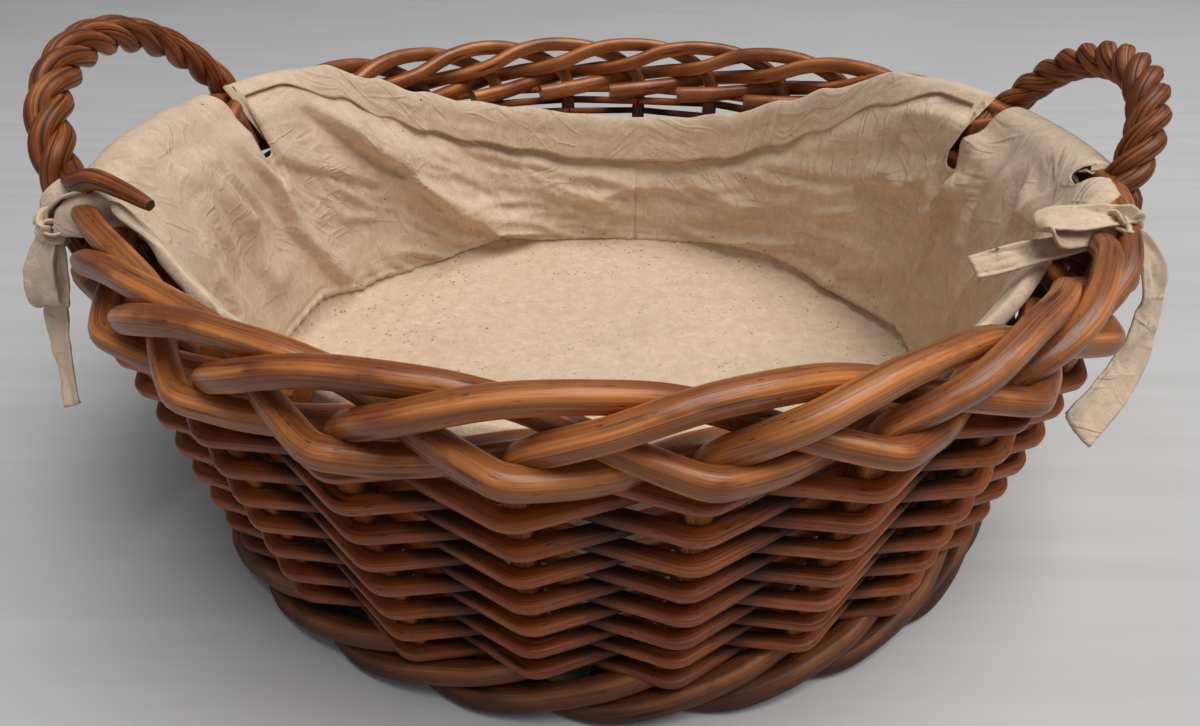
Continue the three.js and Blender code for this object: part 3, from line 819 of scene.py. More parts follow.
def weaver_points(course, reach, bend, dice):
    """Straight spans with short bends round the stakes, from one stake and back to it."""
    height = WEAVE_FOOT + course * (WEAVE_TOP - WEAVE_FOOT) / (COURSE_COUNT - 1)
    start = next(k for k in range(6, 14) if (k + course) % 2 == 1)
    corners = []
    for step in range(STAKE_COUNT + 1):
        stake = start + step
        side = 1 if (stake + course) % 2 == 0 else -1
        inner = 0 < step < STAKE_COUNT
        jitter = dice.uniform(-JITTER_UP, JITTER_UP) if inner else 0.0
        offset = side * (reach + dice.uniform(0.0, JITTER_OUT))
        corners.append(on_basket(
            stake + (dice.uniform(-JITTER_ROUND, JITTER_ROUND) if inner else 0.0),
            wall_radius(height) + offset * math.cos(WALL_LEAN),
            height + jitter - offset * math.sin(WALL_LEAN)))
    points = [corners[0]]
    for before, corner, after in zip(corners, corners[1:], corners[2:]):
        into = (before - corner).normalized()
        onward = (after - corner).normalized()
        entry = corner + into * bend
        leave = corner + onward * bend
        quarter = (entry - points[-1]) * 0.25
        for _ in range(3):
            points.append(points[-1] + quarter)
        for step in range(BEND_STEPS):
            t = step / (BEND_STEPS - 1)
            points.append(entry * (1 - t) ** 2 + corner * 2 * t * (1 - t) + leave * t ** 2)
    points.append(corners[-1])
    return points


class BASKET_OT_make_weavers(bpy.types.Operator):
    """Make the courses of split rods that are woven round the stakes"""
    bl_idname = "basket.make_weavers"
    bl_label = "Make weavers"

    def execute(self, context):
        sizes = context.scene.basket_wicker
        reach = STAKE_HALF + WEAVER_SEAT + sizes.weaver_thickness / 2 / MM + WANDER_ROOM
        for course in range(COURSE_COUNT):
            name = f"weaver_{course + 1:02d}"
            dice = random.Random(BEND_SEED + course)
            points = weaver_points(course, reach, sizes.bend_reach, dice)
            thicks = wood_thicks(len(points), THICK_SEEDS["weaver"] + course, 0.16)
            sides = outward_sides(points, WALL_LEAN)
            path = (points, sides, thicks, grain_start("weaver", course))
            make_rod(f"split_{name}", name, path, {
                "Half Across": sizes.weaver_thickness / 2, "Half High": sizes.weaver_height / 2,
                "Squareness": 0.55, "Sides": 16, "Wander": sizes.wander * 0.7,
                "Wander Scale": 22.0, "Seed": 60.0 + course,
                "Finish": shared_material("varnished_split_rods")})
        return {"FINISHED"}


# Woven base, in millimetres

STICK_GAP = 9.0
STICK_HALF = 3.0
STICK_LIFT = 3.175
STICK_CROSSES = (15, 30)
STICK_FANS = (72, 140, 216.5)
FAN_ANGLE = math.pi / 6
BASE_FIRST_RADIUS = 77.4
BASE_COURSE_SPACING = 6.8
BASE_BEND = 5.35
BASE_WEAVER_HALVES = (2.7, 2.0)


def base_stick_points(quarter_turn, place):
    """Three sticks lie side by side where they cross the other three, and fan out beyond."""
    cross = BASE_HEIGHT + (STICK_LIFT if quarter_turn else -STICK_LIFT)
    fan = place * FAN_ANGLE
    half = [Vector((reach, STICK_GAP * place, cross)) for reach in STICK_CROSSES]
    for reach in STICK_FANS:
        half.append(Vector((reach * math.cos(fan), reach * math.sin(fan), BASE_HEIGHT)))
    whole = [Vector((-p.x, p.y, p.z)) for p in reversed(half)] + half
    turned = []
    for p in whole:
        turned.append(Vector((-p.y, p.x, p.z)) * MM if quarter_turn else p * MM)
    return turned


def base_weaver_points(weaver):
    """A spiral that bends over one stick's end and under the next, 12 to a turn."""
    first = BASE_FIRST_RADIUS + weaver * BASE_COURSE_SPACING
    step = 2 * BASE_COURSE_SPACING
    bends = int(((BASE_REACH - first) / step) * 12)
    corners = []
    for bend in range(bends):
        up = BASE_BEND if (bend + weaver) % 2 == 0 else -BASE_BEND
        radius = first + bend / 12 * step
        angle = bend * FAN_ANGLE
        corners.append(Vector((
            radius * math.cos(angle), radius * math.sin(angle), BASE_HEIGHT + up)) * MM)
    return corners


class BASKET_OT_make_base(bpy.types.Operator):
    """Make the sticks and the two long weavers of the woven base"""
    bl_idname = "basket.make_base"
    bl_label = "Make base"

    def execute(self, context):
        for quarter_turn in (0, 1):
            for place in (-1, 0, 1):
                number = quarter_turn * 3 + place + 2
                name = f"base_stick_{number}"
                points = smooth_path(base_stick_points(quarter_turn, place), BASE_SPACING)
                thicks = wood_thicks(len(points), THICK_SEEDS["base_stick"] + number, 0.06)
                sides = carried_sides(points, Vector((0, 0, 1)))
                path = (points, sides, thicks, grain_start("base_stick", number))
                make_rod(f"wicker_{name}", name, path, {
                    "Half Across": STICK_HALF * MM, "Half High": STICK_HALF * MM, "Sides": 12,
                    "Seed": 90.0 + number, "Finish": shared_material("varnished_stakes")})
        for weaver in (0, 1):
            name = f"base_weaver_{weaver + 1}"
            points = smooth_path(base_weaver_points(weaver), BASE_SPACING)
            thicks = wood_thicks(len(points), THICK_SEEDS["base_weaver"] + weaver, 0.12)
            across, high = BASE_WEAVER_HALVES
            path = (points, outward_sides(points), thicks, grain_start("base_weaver", weaver))
            make_rod(f"split_{name}", name, path, {
                "Half Across": across * MM, "Half High": high * MM, "Sides": 12,
                "Squareness": 0.75, "Wander": 0.0003, "Wander Scale": 22.0,
                "Seed": 97.0 + weaver, "Finish": shared_material("varnished_split_rods")})
        return {"FINISHED"}


# Rope handles. Feet as pitches from the foot's place, then as the border's shares

OUTER_FOOT = [(0, 2.4, 3.7), (0, 2.2, 2.2), (0, 2, 1.1)]
RIGHT_FOOT = [(0.05, -0.1, 3.4), (0.04, -0.6, 1.9)]
LEFT_FOOT = [(-0.15, -0.1, 3.4), (-0.15, -0.5, 1.9)]
RESTING_FOOT = [(0.14, 1.3, 5.6), (0.38, 0.35, 6.05), (0.6, -0.5, 5.85), (0.8, -1.3, 5.4)]
# Where each handle's feet stand in pitches, by side and whether it is the back foot. Then each
# arch in millimetres: its feet's places front and back, their distance from the axis and their
# height, the rise, the lean outwards in radians and how full the curve is, as a power.
HANDLE_FEET = {(1, False): 24.86, (1, True): 0.97, (-1, False): 14.62, (-1, True): 11.78}
ARCHES = {
    1: (-68.0, 66.5, 250.5, 164.5, 65.0, 0.467, 0.88),
    -1: (-97.0, 93.5, 254.0, 164.0, 73.0, 0.4, 0.98),
}
ROPE_START = 0.22
ROPE_TURNS = 4
ROPE_RADIUS = 4.9
ROPE_STEPS = 84
TURNS_PER_METRE = -2.0  # of a strand's own canes
# At the left handle one strand's front foot lies over the border and is thin at its end
RESTING_STRAND = 1
RESTING_FIRST_STEP = 6
THIN_POINTS = 16
THIN_END = 0.5


def arch_point(side, swing):
    """A point on the middle of a handle's rope, from 0 at the front foot to pi at the back."""
    front, back, radius, foot_height, full_rise, lean, fullness = ARCHES[side]
    share = (1 - math.cos(swing)) / 2
    front_reach, back_reach = (math.sqrt(radius ** 2 - y ** 2) for y in (front, back))
    rise = full_rise * max(math.sin(swing), 0.0) ** fullness
    return Vector((
        side * (front_reach + (back_reach - front_reach) * share + rise * math.sin(lean)),
        front + (back - front) * share,
        foot_height + rise * math.cos(lean)))


def strand_points(side, strand):
    """One of three strands that wind round the arch and spread at its feet."""
    lean = ARCHES[side][5]
    plane = Vector((side * math.cos(lean), 0, -math.sin(lean)))
    resting = side < 0 and strand == RESTING_STRAND
    rope = []
    for step in range(RESTING_FIRST_STEP if resting else 0, ROPE_STEPS + 1):
        share = step / ROPE_STEPS
        swing = ROPE_START + share * (math.pi - 2 * ROPE_START)
        along = (arch_point(side, swing + 0.01) - arch_point(side, swing - 0.01)).normalized()
        away = along.cross(plane)
        twist = 2 * math.pi * (ROPE_TURNS * share + strand / 3)
        place = arch_point(side, swing) + plane * (ROPE_RADIUS * math.cos(twist))
        rope.append((place + away * (ROPE_RADIUS * math.sin(twist))) * MM)
    middle = RESTING_FOOT if resting else RIGHT_FOOT
    front = on_border(HANDLE_FEET[(side, False)], [OUTER_FOOT, middle, LEFT_FOOT][strand])
    back = on_border(HANDLE_FEET[(side, True)], [OUTER_FOOT, LEFT_FOOT, RIGHT_FOOT][strand])
    return [*reversed(front), *rope, *back]


class BASKET_OT_make_handles(bpy.types.Operator):
    """Make the strands of the two rope handles"""
    bl_idname = "basket.make_handles"
    bl_label = "Make handles"

    def execute(self, context):
        sizes = context.scene.basket_handles
        for side in (-1, 1):
            hand = "left" if side < 0 else "right"
            for strand in range(3):
                points = smooth_path(strand_points(side, strand), ROPE_SPACING)
                sides = carried_sides(points, outwards(points[0]), TURNS_PER_METRE)
                seed = THICK_SEEDS["strand"] + strand + 10 * side
                thicks = wood_thicks(len(points), seed, 0.08)
                if side < 0 and strand == RESTING_STRAND:
                    for i in range(THIN_POINTS):
                        thicks[i] *= THIN_END + (1 - THIN_END) * (i / THIN_POINTS) ** 0.6
                start = grain_start("strand", strand) + HAND_GRAIN_STEP * (side + 1)
                path = (points, sides, thicks, start)
                name, node = (f"{hand}_{kind}_strand_{strand + 1}" for kind in ("rope", "handle"))
                make_rod(name, node, path, {
                    "Half Across": sizes.strand_diameter / 2,
                    "Half High": sizes.strand_diameter / 2,
                    "Squareness": 0.95, "Canes": sizes.canes, "Groove": sizes.groove,
                    "Sides": 60, "Wander": 0.0002, "Wander Scale": 30.0,
                    "Seed": 110.0 + strand + 5 * side,
                    "Finish": shared_material("varnished_cane")}, ROPE_SHARPNESS)
        return {"FINISHED"}


# Lining. Profiles are radius and height in millimetres, from the floor seam to the hem

SEAM_EDGE = (211.4, 25.6)
INNER_FACE = [
    (27.5, 213.6), (38, 213.6), (80, 215.8), (120, 219.2), (140, 221.0), (152, 222.6),
    (171, 229.5), (182, 234.5), (187, 238.0),
]
# A slipped profile between seam and crest: share of the rise, and how far in from the wall
SLIPPED_BODY = [(0.35, 2.5), (0.62, 3.0), (0.86, 2.0)]
# Over its crest: how far in, how far down, and the share of the flap's length to add to that
SLIPPED_TOP = [(0.6, 5.0, 0), (3.8, 0, 0), (7.4, 4.5, 0), (9.8, 0, 0.55), (12.0, 0, 1)]
SLIPPED_FOOT = 27.0


def inner_face(height):
    """Radius of the cloth where it lies against the inside of the wall and the border."""
    return float(np.interp(height, *zip(*INNER_FACE)))


def slipped_profile(crest, flap):
    """Cloth that has slipped down inside, with its hem folded inwards over its own top."""
    heights = [SLIPPED_FOOT + share * (crest - SLIPPED_FOOT) for share, _ in SLIPPED_BODY]
    return [
        SEAM_EDGE, (212.4, 33.0),
        *[(inner_face(up) - inset, up) for up, (_, inset) in zip(heights, SLIPPED_BODY)],
        *[(inner_face(crest) - inset, crest - down - share * flap)
          for inset, down, share in SLIPPED_TOP],
    ]


OVER_BORDER = [
    SEAM_EDGE, (212.8, 34), (215, 80), (218.8, 118), (221.4, 147), (228.6, 169),
    (238, 184.6), (249, 187.6), (259, 182.5), (267.5, 158),
]
FOLDED_ON_TOP = [
    SEAM_EDGE, (212.8, 34), (214.6, 80), (218.4, 118), (221.4, 147), (230, 173),
    (243, 187.2), (249.5, 188.4), (243, 189.6), (235, 184.5),
]
ON_SHOULDER = [
    SEAM_EDGE, (212.6, 34), (214, 76), (217.4, 112), (221, 144), (230.5, 172.5),
    (241, 186), (238.6, 187.9), (232.6, 180.5), (226.5, 168),
]
TO_KNOT = [
    SEAM_EDGE, (212.8, 34), (215, 80), (218.8, 118), (221.4, 147), (229, 170.5),
    (241, 187), (254, 188), (263, 182), (267.5, 172),
]
OVER_AT_RIGHT_KNOT = [
    SEAM_EDGE, (212.8, 34), (215, 80), (218.8, 118), (221.4, 147), (228.5, 168),
    (238, 184), (243, 186.5), (247, 186.3), (250, 184),
]
# Where the cloth has slipped: pitch, height of its crest and length of the flap
SLIPPED = [
    (3.17, 170, 30), (3.7, 157, 32), (4.58, 140.5, 33), (5.39, 133, 33), (6.2, 131.5, 33),
    (6.9, 134, 34), (7.77, 141, 31), (8.6, 150, 29), (9.3, 161, 27), (9.9, 175, 26),
    (15.7, 176, 16), (16.5, 162, 16), (17.3, 150, 16), (18.0, 145, 16), (21.0, 145, 16),
    (21.8, 148, 16), (22.6, 156, 15), (23.3, 165, 14), (23.9, 174, 12),
]
# Pitch round the basket and the cloth's profile there
LINING_KEYS = sorted([
    (0.0, OVER_BORDER), (0.9, OVER_BORDER), (0.92, FOLDED_ON_TOP), (1.6, FOLDED_ON_TOP),
    (2.35, ON_SHOULDER), (10.45, ON_SHOULDER), (11.2, FOLDED_ON_TOP), (11.88, FOLDED_ON_TOP),
    (11.9, OVER_BORDER), (14.62, OVER_BORDER), (14.64, TO_KNOT), (14.8, TO_KNOT),
    (15.15, ON_SHOULDER), (24.3, OVER_AT_RIGHT_KNOT), (24.84, OVER_AT_RIGHT_KNOT),
    (24.86, OVER_BORDER), (26.0, OVER_BORDER),
    *[(pitch, slipped_profile(crest, flap)) for pitch, crest, flap in SLIPPED],
], key=lambda key: key[0])
# Rows of vertices between one point of a profile and the next
PROFILE_ROWS = [6, 17, 16, 12, 10, 8, 8, 7, 7]
# The notch at each handle's foot: half its width in pitches and the height of its bottom
NOTCHES = {0.9: (0.17, 149.0), 11.9: (0.15, 149.0), 14.63: (0.16, 184.0), 24.85: (0.16, 182.0)}
# How far the seam between the panels has ridden up the wall: pitch and height
SEAM_RISES = [
    (0.0, 3), (0.47, 2), (0.86, 9), (1.3, 6), (1.9, 3), (2.49, 2), (2.89, 6), (3.57, 11),
    (4.44, 9), (5.3, 3), (5.96, 1.5), (6.92, 1.5), (7.62, 3), (8.23, 10), (8.75, 6), (9.31, 2),
    (10.01, 3), (10.52, 7), (10.85, 6), (11.35, 14), (11.7, 19), (12.4, 15), (12.95, 12),
    (13.5, 4), (15.0, 2), (18.0, 3), (21.0, 2), (24.0, 3), (26.0, 3),
]

# Larger folds: points as pitch and height, how far the cloth stands in from the wall,
# and how wide the fold is above and below its line. Lengths are in millimetres.
LARGE_FOLDS = [
    ([(11.08, 172), (10.7, 151), (10.42, 136), (9.89, 115), (9.71, 100), (9.21, 74),
      (8.69, 58), (8.43, 45), (7.41, 34)], 14.0, 28, 2.5),
    ([(11.9, 150), (11.41, 136), (10.73, 119), (10.12, 102)], 5.0, 15, 3),
    ([(12.1, 150), (12.03, 138), (11.92, 104), (11.68, 83), (11.38, 59), (10.98, 41)],
     8.0, 20, 4),
    ([(0.54, 175), (0.48, 149), (0.68, 117), (0.86, 63)], 4.5, 10, 3),
    ([(25.61, 170), (25.12, 155), (25.16, 129), (25.53, 91), (25.79, 51)], 5.0, 12, 3),
    ([(1.34, 117), (1.48, 86), (1.54, 56), (1.59, 44)], 4.0, 9, 3),
    ([(6.4, 74), (4.65, 81), (3.08, 94), (1.65, 108)], 4.0, 13, 3),
    ([(0.79, 152), (1.41, 126), (2.3, 117), (3.15, 110), (4.19, 108)], 4.5, 14, 3),
    ([(10.95, 89), (10.37, 80)], 2.5, 8, 2),
    ([(10.55, 77), (10.69, 49), (10.54, 33)], 3.0, 4, 4),
    ([(0.2, 148), (0.56, 135), (0.84, 118), (1.15, 104)], 6.0, 16, 4),
    ([(2.3, 112), (2.0, 124), (1.81, 129), (1.52, 121), (1.36, 110)], 5.0, 12, 4),
    ([(4.3, 95), (3.64, 97), (2.69, 100), (2.04, 116)], 4.0, 14, 5),
    ([(4.92, 63), (3.93, 77), (2.75, 87), (1.92, 96)], 4.5, 16, 7),
    ([(5.2, 37), (4.44, 37), (3.57, 38), (2.89, 36), (2.2, 32), (1.5, 33), (0.86, 34)],
     5.0, 9, 4),
    ([(0.77, 111), (0.78, 65), (0.76, 34)], 2.5, 6, 3),
    ([(9.6, 142), (9.0, 122), (8.1, 104), (7.2, 92)], 4.5, 14, 5),
    ([(8.0, 84), (7.2, 70), (6.3, 62)], 3.5, 12, 4),
    ([(5.7, 84), (5.1, 72), (4.4, 68)], 3.0, 9, 4),
    ([(13.2, 158), (12.9, 130), (12.8, 96), (12.4, 66)], 5.0, 16, 7),
    ([(13.9, 150), (14.0, 120), (13.7, 88), (13.8, 60)], 4.5, 15, 7),
    ([(17.0, 130), (18.2, 100), (19.6, 84)], 4.0, 16, 6),
    ([(22.6, 128), (21.4, 98), (20.2, 76)], 4.0, 16, 6),
    ([(15.8, 120), (15.9, 84), (16.2, 50)], 3.5, 12, 6),
    ([(23.6, 118), (23.4, 80), (23.2, 48)], 3.5, 12, 6),
]

SPAN = 57.0  # from one pitch to the next, round the wall panel
SEAM_PITCH = 5.95
COLUMNS = 416
CLOSEST_COLUMNS = 0.006  # in pitches


def smoothstep(t):
    return t * t * (3 - 2 * t)


def lining_pitches():
    """Columns round the wall panel, closer together where a notch's edge is steep."""
    places = list(np.linspace(0, STAKE_COUNT, COLUMNS + 1)[:-1])
    places += list(np.linspace(SEAM_PITCH - 0.07, SEAM_PITCH + 0.07, 13))
    for foot, (half, _) in NOTCHES.items():
        for side in (-1, 1):
            places += list(foot + side * half + np.linspace(-0.05, 0.07, 9) * side)
        places += list(foot + np.linspace(-0.8, 0.8, 9) * half)
    places = sorted(p % STAKE_COUNT for p in places)
    kept = [places[0]]
    for place in places[1:]:
        if place - kept[-1] > CLOSEST_COLUMNS:
            kept.append(place)
    return np.array(kept)


def curve_through(keys, rows):
    """Points on a smooth curve through a profile's keys, a fixed number in each interval."""
    keys = np.array(keys, dtype=float)
    ends = np.vstack([2 * keys[0] - keys[1], keys, 2 * keys[-1] - keys[-2]])
    made = []
    for i, count in enumerate(rows):
        p0, p1, p2, p3 = ends[i:i + 4]
        t01 = np.linalg.norm(p1 - p0) ** 0.5
        t12 = np.linalg.norm(p2 - p1) ** 0.5
        t23 = np.linalg.norm(p3 - p2) ** 0.5
        m1 = (p2 - p1) + t12 * ((p1 - p0) / t01 - (p2 - p0) / (t01 + t12))
        m2 = (p2 - p1) + t12 * ((p3 - p2) / t23 - (p3 - p1) / (t12 + t23))
        t = np.arange(count)[:, None] / count
        made.append(
            (2 * t ** 3 - 3 * t ** 2 + 1) * p1 + (t ** 3 - 2 * t ** 2 + t) * m1
            + (-2 * t ** 3 + 3 * t ** 2) * p2 + (t ** 3 - t ** 2) * m2)
    made.append(keys[-1:])
    return np.vstack(made)


def seam_rise(pitch):
    """How far the floor seam has ridden up at a pitch."""
    places, heights = zip(*SEAM_RISES)
    return float(np.interp(pitch, places, heights))


# Places round the wall panel and the slope in degrees at which its small creases run there
CREASE_SLOPES = [(0.0, -82), (3.4, -14), (6.4, 8), (9.5, 33), (13.0, 60), (19.5, 90)]
# Wide and fine creases: size across and along in millimetres, narrowness and share of the height
WIDE_CREASES = (24, 120, 3.4, 1.0)
FINE_CREASES = (13, 60, 2.8, 0.4)
CREASE_BOW = 7.0


def crease_field(across, height, pitches, broad):
    """Crests along the places where stretched noise is nought, turned to the local slope."""
    places = [place for place, slope in CREASE_SLOPES] + [float(STAKE_COUNT)]
    made = np.zeros_like(across)
    for i, (place, slope) in enumerate(CREASE_SLOPES):
        peaks = np.zeros(len(places))
        peaks[i] = 1.0
        if i == 0:
            peaks[-1] = 1.0
        weight = np.interp(pitches, places, peaks)
        turn = math.radians(slope)
        over = -across * math.sin(turn) + height * math.cos(turn) + CREASE_BOW * broad
        along = across * math.cos(turn) + height * math.sin(turn)
        for col in np.nonzero(weight > 0.02)[0]:
            for row in range(across.shape[1]):
                crest = 0.0
                for (wide, long, narrowness, share), seed in (
                        (WIDE_CREASES, 5.0 * i), (FINE_CREASES, 9.0 + i)):
                    level = noise.noise((over[col, row] / wide, along[col, row] / long, seed))
                    crest += share * max(0.0, 1.0 - abs(level) * narrowness) ** 1.4
                made[col, row] += weight[col] * crest
    return made


def profile_at(pitch):
    """The cloth's profile at a pitch, blended from the nearest two keys."""
    places = [key[0] for key in LINING_KEYS]
    after = int(np.searchsorted(places, pitch, side="right"))
    after = min(max(after, 1), len(places) - 1)
    (a, start), (b, end) = LINING_KEYS[after - 1], LINING_KEYS[after]
    t = min(max((pitch - a) / (b - a), 0.0), 1.0)
    t = smoothstep(t) if b - a > 0.1 else t
    return np.array(start) * (1 - t) + np.array(end) * t


def fold_field(across, height):
    """How far the large folds lift the cloth at points given by distance round and height."""
    lifted = np.zeros_like(across)
    half_round = SPAN * STAKE_COUNT / 2
    for line, depth, above, below in LARGE_FOLDS:
        points = [(pitch * SPAN, z) for pitch, z in line]
        best = np.full(across.shape, 1e9)
        signed = np.zeros_like(across)
        share = np.zeros_like(across)
        lengths = [math.dist(a, b) for a, b in zip(points, points[1:])]
        done = 0.0
        for (a, b), length in zip(zip(points, points[1:]), lengths):
            ux, uz = (b[0] - a[0]) / length, (b[1] - a[1]) / length
            gap = across - a[0]
            gap = (gap + half_round) % (2 * half_round) - half_round
            t = np.clip(gap * ux + (height - a[1]) * uz, 0, length)
            dx, dz = gap - t * ux, height - a[1] - t * uz
            reach = np.hypot(dx, dz)
            turn = np.sign((ux * dz - uz * dx) * (-1.0 if ux < 0 else 1.0))
            nearer = reach < best
            best = np.where(nearer, reach, best)
            signed = np.where(nearer, turn * reach, signed)
            share = np.where(nearer, (done + t) / sum(lengths), share)
            done += length
        width = np.where(signed >= 0, above, below)
        rise = np.exp(-(signed / width) ** 2 * 1.6)
        ends = np.clip(share / 0.16, 0, 1) * np.clip((1 - share) / 0.16, 0, 1)
        lifted = np.maximum(
            lifted, lifted * 0.5 + depth * rise * (0.25 + 0.75 * smoothstep(ends)))
    return lifted


def cloth_noise(points, scale, octaves, seed):
    """Fractal noise at each of a grid of points in metres."""
    shift = Vector((seed * 3.7, seed * 1.9, seed * 5.3))
    values = [
        noise.fractal(Vector(point) * scale + shift, 0.9, 2.1, octaves)
        for point in points.reshape(-1, 3)
    ]
    return np.array(values).reshape(points.shape[:2])


def grid_normals(grid):
    """Normals of a closed ring of columns by rows of points."""
    round_step = np.roll(grid, -1, axis=0) - np.roll(grid, 1, axis=0)
    up_step = np.empty_like(grid)
    up_step[:, 1:-1] = grid[:, 2:] - grid[:, :-2]
    up_step[:, 0] = grid[:, 1] - grid[:, 0]
    up_step[:, -1] = grid[:, -1] - grid[:, -2]
    normals = np.cross(up_step, round_step)
    return normals / np.maximum(np.linalg.norm(normals, axis=2, keepdims=True), 1e-9)


def cut_notches(pitches, flat, lengths):
    """Draws the hem down at the handles' feet, along the profile and in place."""
    shares = lengths / lengths[:, -1:]
    rising = sum(PROFILE_ROWS[:5]) + 7
    for i, pitch in enumerate(pitches):
        for foot, (half, bottom) in NOTCHES.items():
            part = abs(pitch - foot) / half
            if part < 1:
                open_share = (1 - part ** 5) ** 0.2
                low = np.interp(bottom, flat[i, :rising, 1], shares[i, :rising])
                top = 1 - (1 - low) * open_share
                bend = low * 0.93
                squeezed = bend + (shares[i] - bend) * (top - bend) / (1 - bend)
                wanted = np.where(shares[i] > bend, squeezed, shares[i])
                columns = [np.interp(wanted, shares[i], flat[i, :, k]) for k in (0, 1)]
                flat[i] = np.stack(columns, axis=1)
                lengths[i] = np.interp(wanted, shares[i], lengths[i])


# Heights of the wall panel's small forms in millimetres, with their spacing or width
FOLD_GAP = 2.0  # from the flap's end down to where folds begin
FOLD_START = 13  # the height over which they begin
FLAPLESS_DROP = 9.0  # where there is no flap, from the crest down
SEAM_ROWS = 7  # from the floor seam up, over which folds begin
HEM_ROWS = 8  # from the hem to its stitch
BROAD_WAVE = 2.4
BROAD_LIFT = 1.6
RIPPLE = 0.5
CREASE_GAIN = 4.0  # times the crumple that the user sets
SMALL_GAIN = 0.12
PUCKER, PUCKER_SPACING, PUCKER_ROWS = 1.1, 11.0, 4.0
FLOOR_SEAM_ROLL = 1.6
UPRIGHT_SEAM, UPRIGHT_SEAM_HALF = 2.0, 0.9
SEAM_FOLD, SEAM_FOLD_RISE, SEAM_FOLD_FALL = 2.0, 3, 16
HEM_STITCH = 0.35


def cloth_lift(pitches, flat, grid, across, crumple):
    """How far each point of the wall panel stands in from its profile, in millimetres."""
    height = flat[:, :, 1]
    rows = height.shape[1]
    index = np.arange(rows)[None, :]
    crest_row = sum(PROFILE_ROWS[:6])
    crest = height.max(axis=1, keepdims=True)
    tucked = (flat[:, -1, 0] < flat[:, crest_row, 0])[:, None]
    drop = np.where(tucked, crest - height[:, -1:], FLAPLESS_DROP)
    under = np.clip((crest - drop - FOLD_GAP - height) / FOLD_START, 0, 1)
    body = smoothstep(under * (index < crest_row))
    foot_fade = np.clip(index / SEAM_ROWS, 0, 1)
    lifted = fold_field(across, height) * body * (0.35 + 0.65 * foot_fade)

    points = grid * MM
    drawn = points * (1.0, 1.0, 1.7)
    broad = cloth_noise(drawn, 13.0, 2, 1)
    ripples = cloth_noise(drawn, 34.0, 3, 2)
    small = cloth_noise(points, 95.0, 3, 3)
    calm = 0.15 + 0.85 * np.clip(0.5 + 2.4 * cloth_noise(drawn, 9.0, 1, 9), 0, 1)
    drag = crease_field(across, height, pitches, broad) * calm
    bare = 0.14 + 0.86 * body
    creasing = crumple / MM
    lifted += (broad * BROAD_WAVE + BROAD_LIFT) * body * foot_fade
    lifted += (ripples * RIPPLE + drag * creasing * CREASE_GAIN) * bare * (0.3 + 0.7 * foot_fade)
    lifted += small * creasing * SMALL_GAIN

    # Puckers along the floor seam, the upright seam with the fold beside it, and the hem's stitch
    waves = np.sin(across * 2 * math.pi / PUCKER_SPACING + 2.5 * broad)
    lifted += waves * np.exp(-index / PUCKER_ROWS) * PUCKER + (
        FLOOR_SEAM_ROLL * np.exp(-((index - 2) / 1.8) ** 2) * (1 + broad))
    past_seam = across - SEAM_PITCH * SPAN
    seam = np.exp(-(past_seam / UPRIGHT_SEAM_HALF) ** 2) * body
    step = np.clip(past_seam / SEAM_FOLD_RISE + 0.5, 0, 1)
    step = step * np.exp(-np.clip(past_seam, 0, None) / SEAM_FOLD_FALL) * body
    lifted += SEAM_FOLD * step - UPRIGHT_SEAM * seam
    return lifted + np.exp(-((index - (rows - HEM_ROWS)) / 1.3) ** 2) * HEM_STITCH


def lining_grid(crumple):
    """The wall panel: its points, with their distance round and along the cloth, in metres."""
    pitches = lining_pitches()
    flat = np.empty((len(pitches), sum(PROFILE_ROWS) + 1, 2))
    for i, pitch in enumerate(pitches):
        keys = profile_at(pitch)
        keys[:2, 1] += seam_rise(pitch)
        flat[i] = curve_through(keys, PROFILE_ROWS)
    steps = np.linalg.norm(np.diff(flat, axis=1), axis=2)
    lengths = np.concatenate([np.zeros((len(pitches), 1)), np.cumsum(steps, axis=1)], axis=1)
    cut_notches(pitches, flat, lengths)
    radius, height = flat[:, :, 0], flat[:, :, 1]
    angles = (pitches * PITCH)[:, None]
    grid = np.stack([radius * np.cos(angles), radius * np.sin(angles), height], axis=2)
    across = np.repeat(pitches[:, None] * SPAN, flat.shape[1], axis=1)
    lifted = cloth_lift(pitches, flat, grid, across, crumple)
    grid = grid + grid_normals(grid) * lifted[:, :, None]
    return grid * MM, across * MM, lengths * MM


# The floor panel: its flat part in metres, then its edge, turned up to the seam, in millimetres
FLAT_REACH = 0.2
FLAT_HEIGHT = 0.0252
FLAT_MIDDLE = 0.0255
FLAT_RINGS = 56
EDGE_RINGS = 12
SECTORS = 312
EDGE_BEND = 9.0
EDGE_RUN = 13.2
EDGE_REACH = 13.6
EDGE_PUCKERS = 112


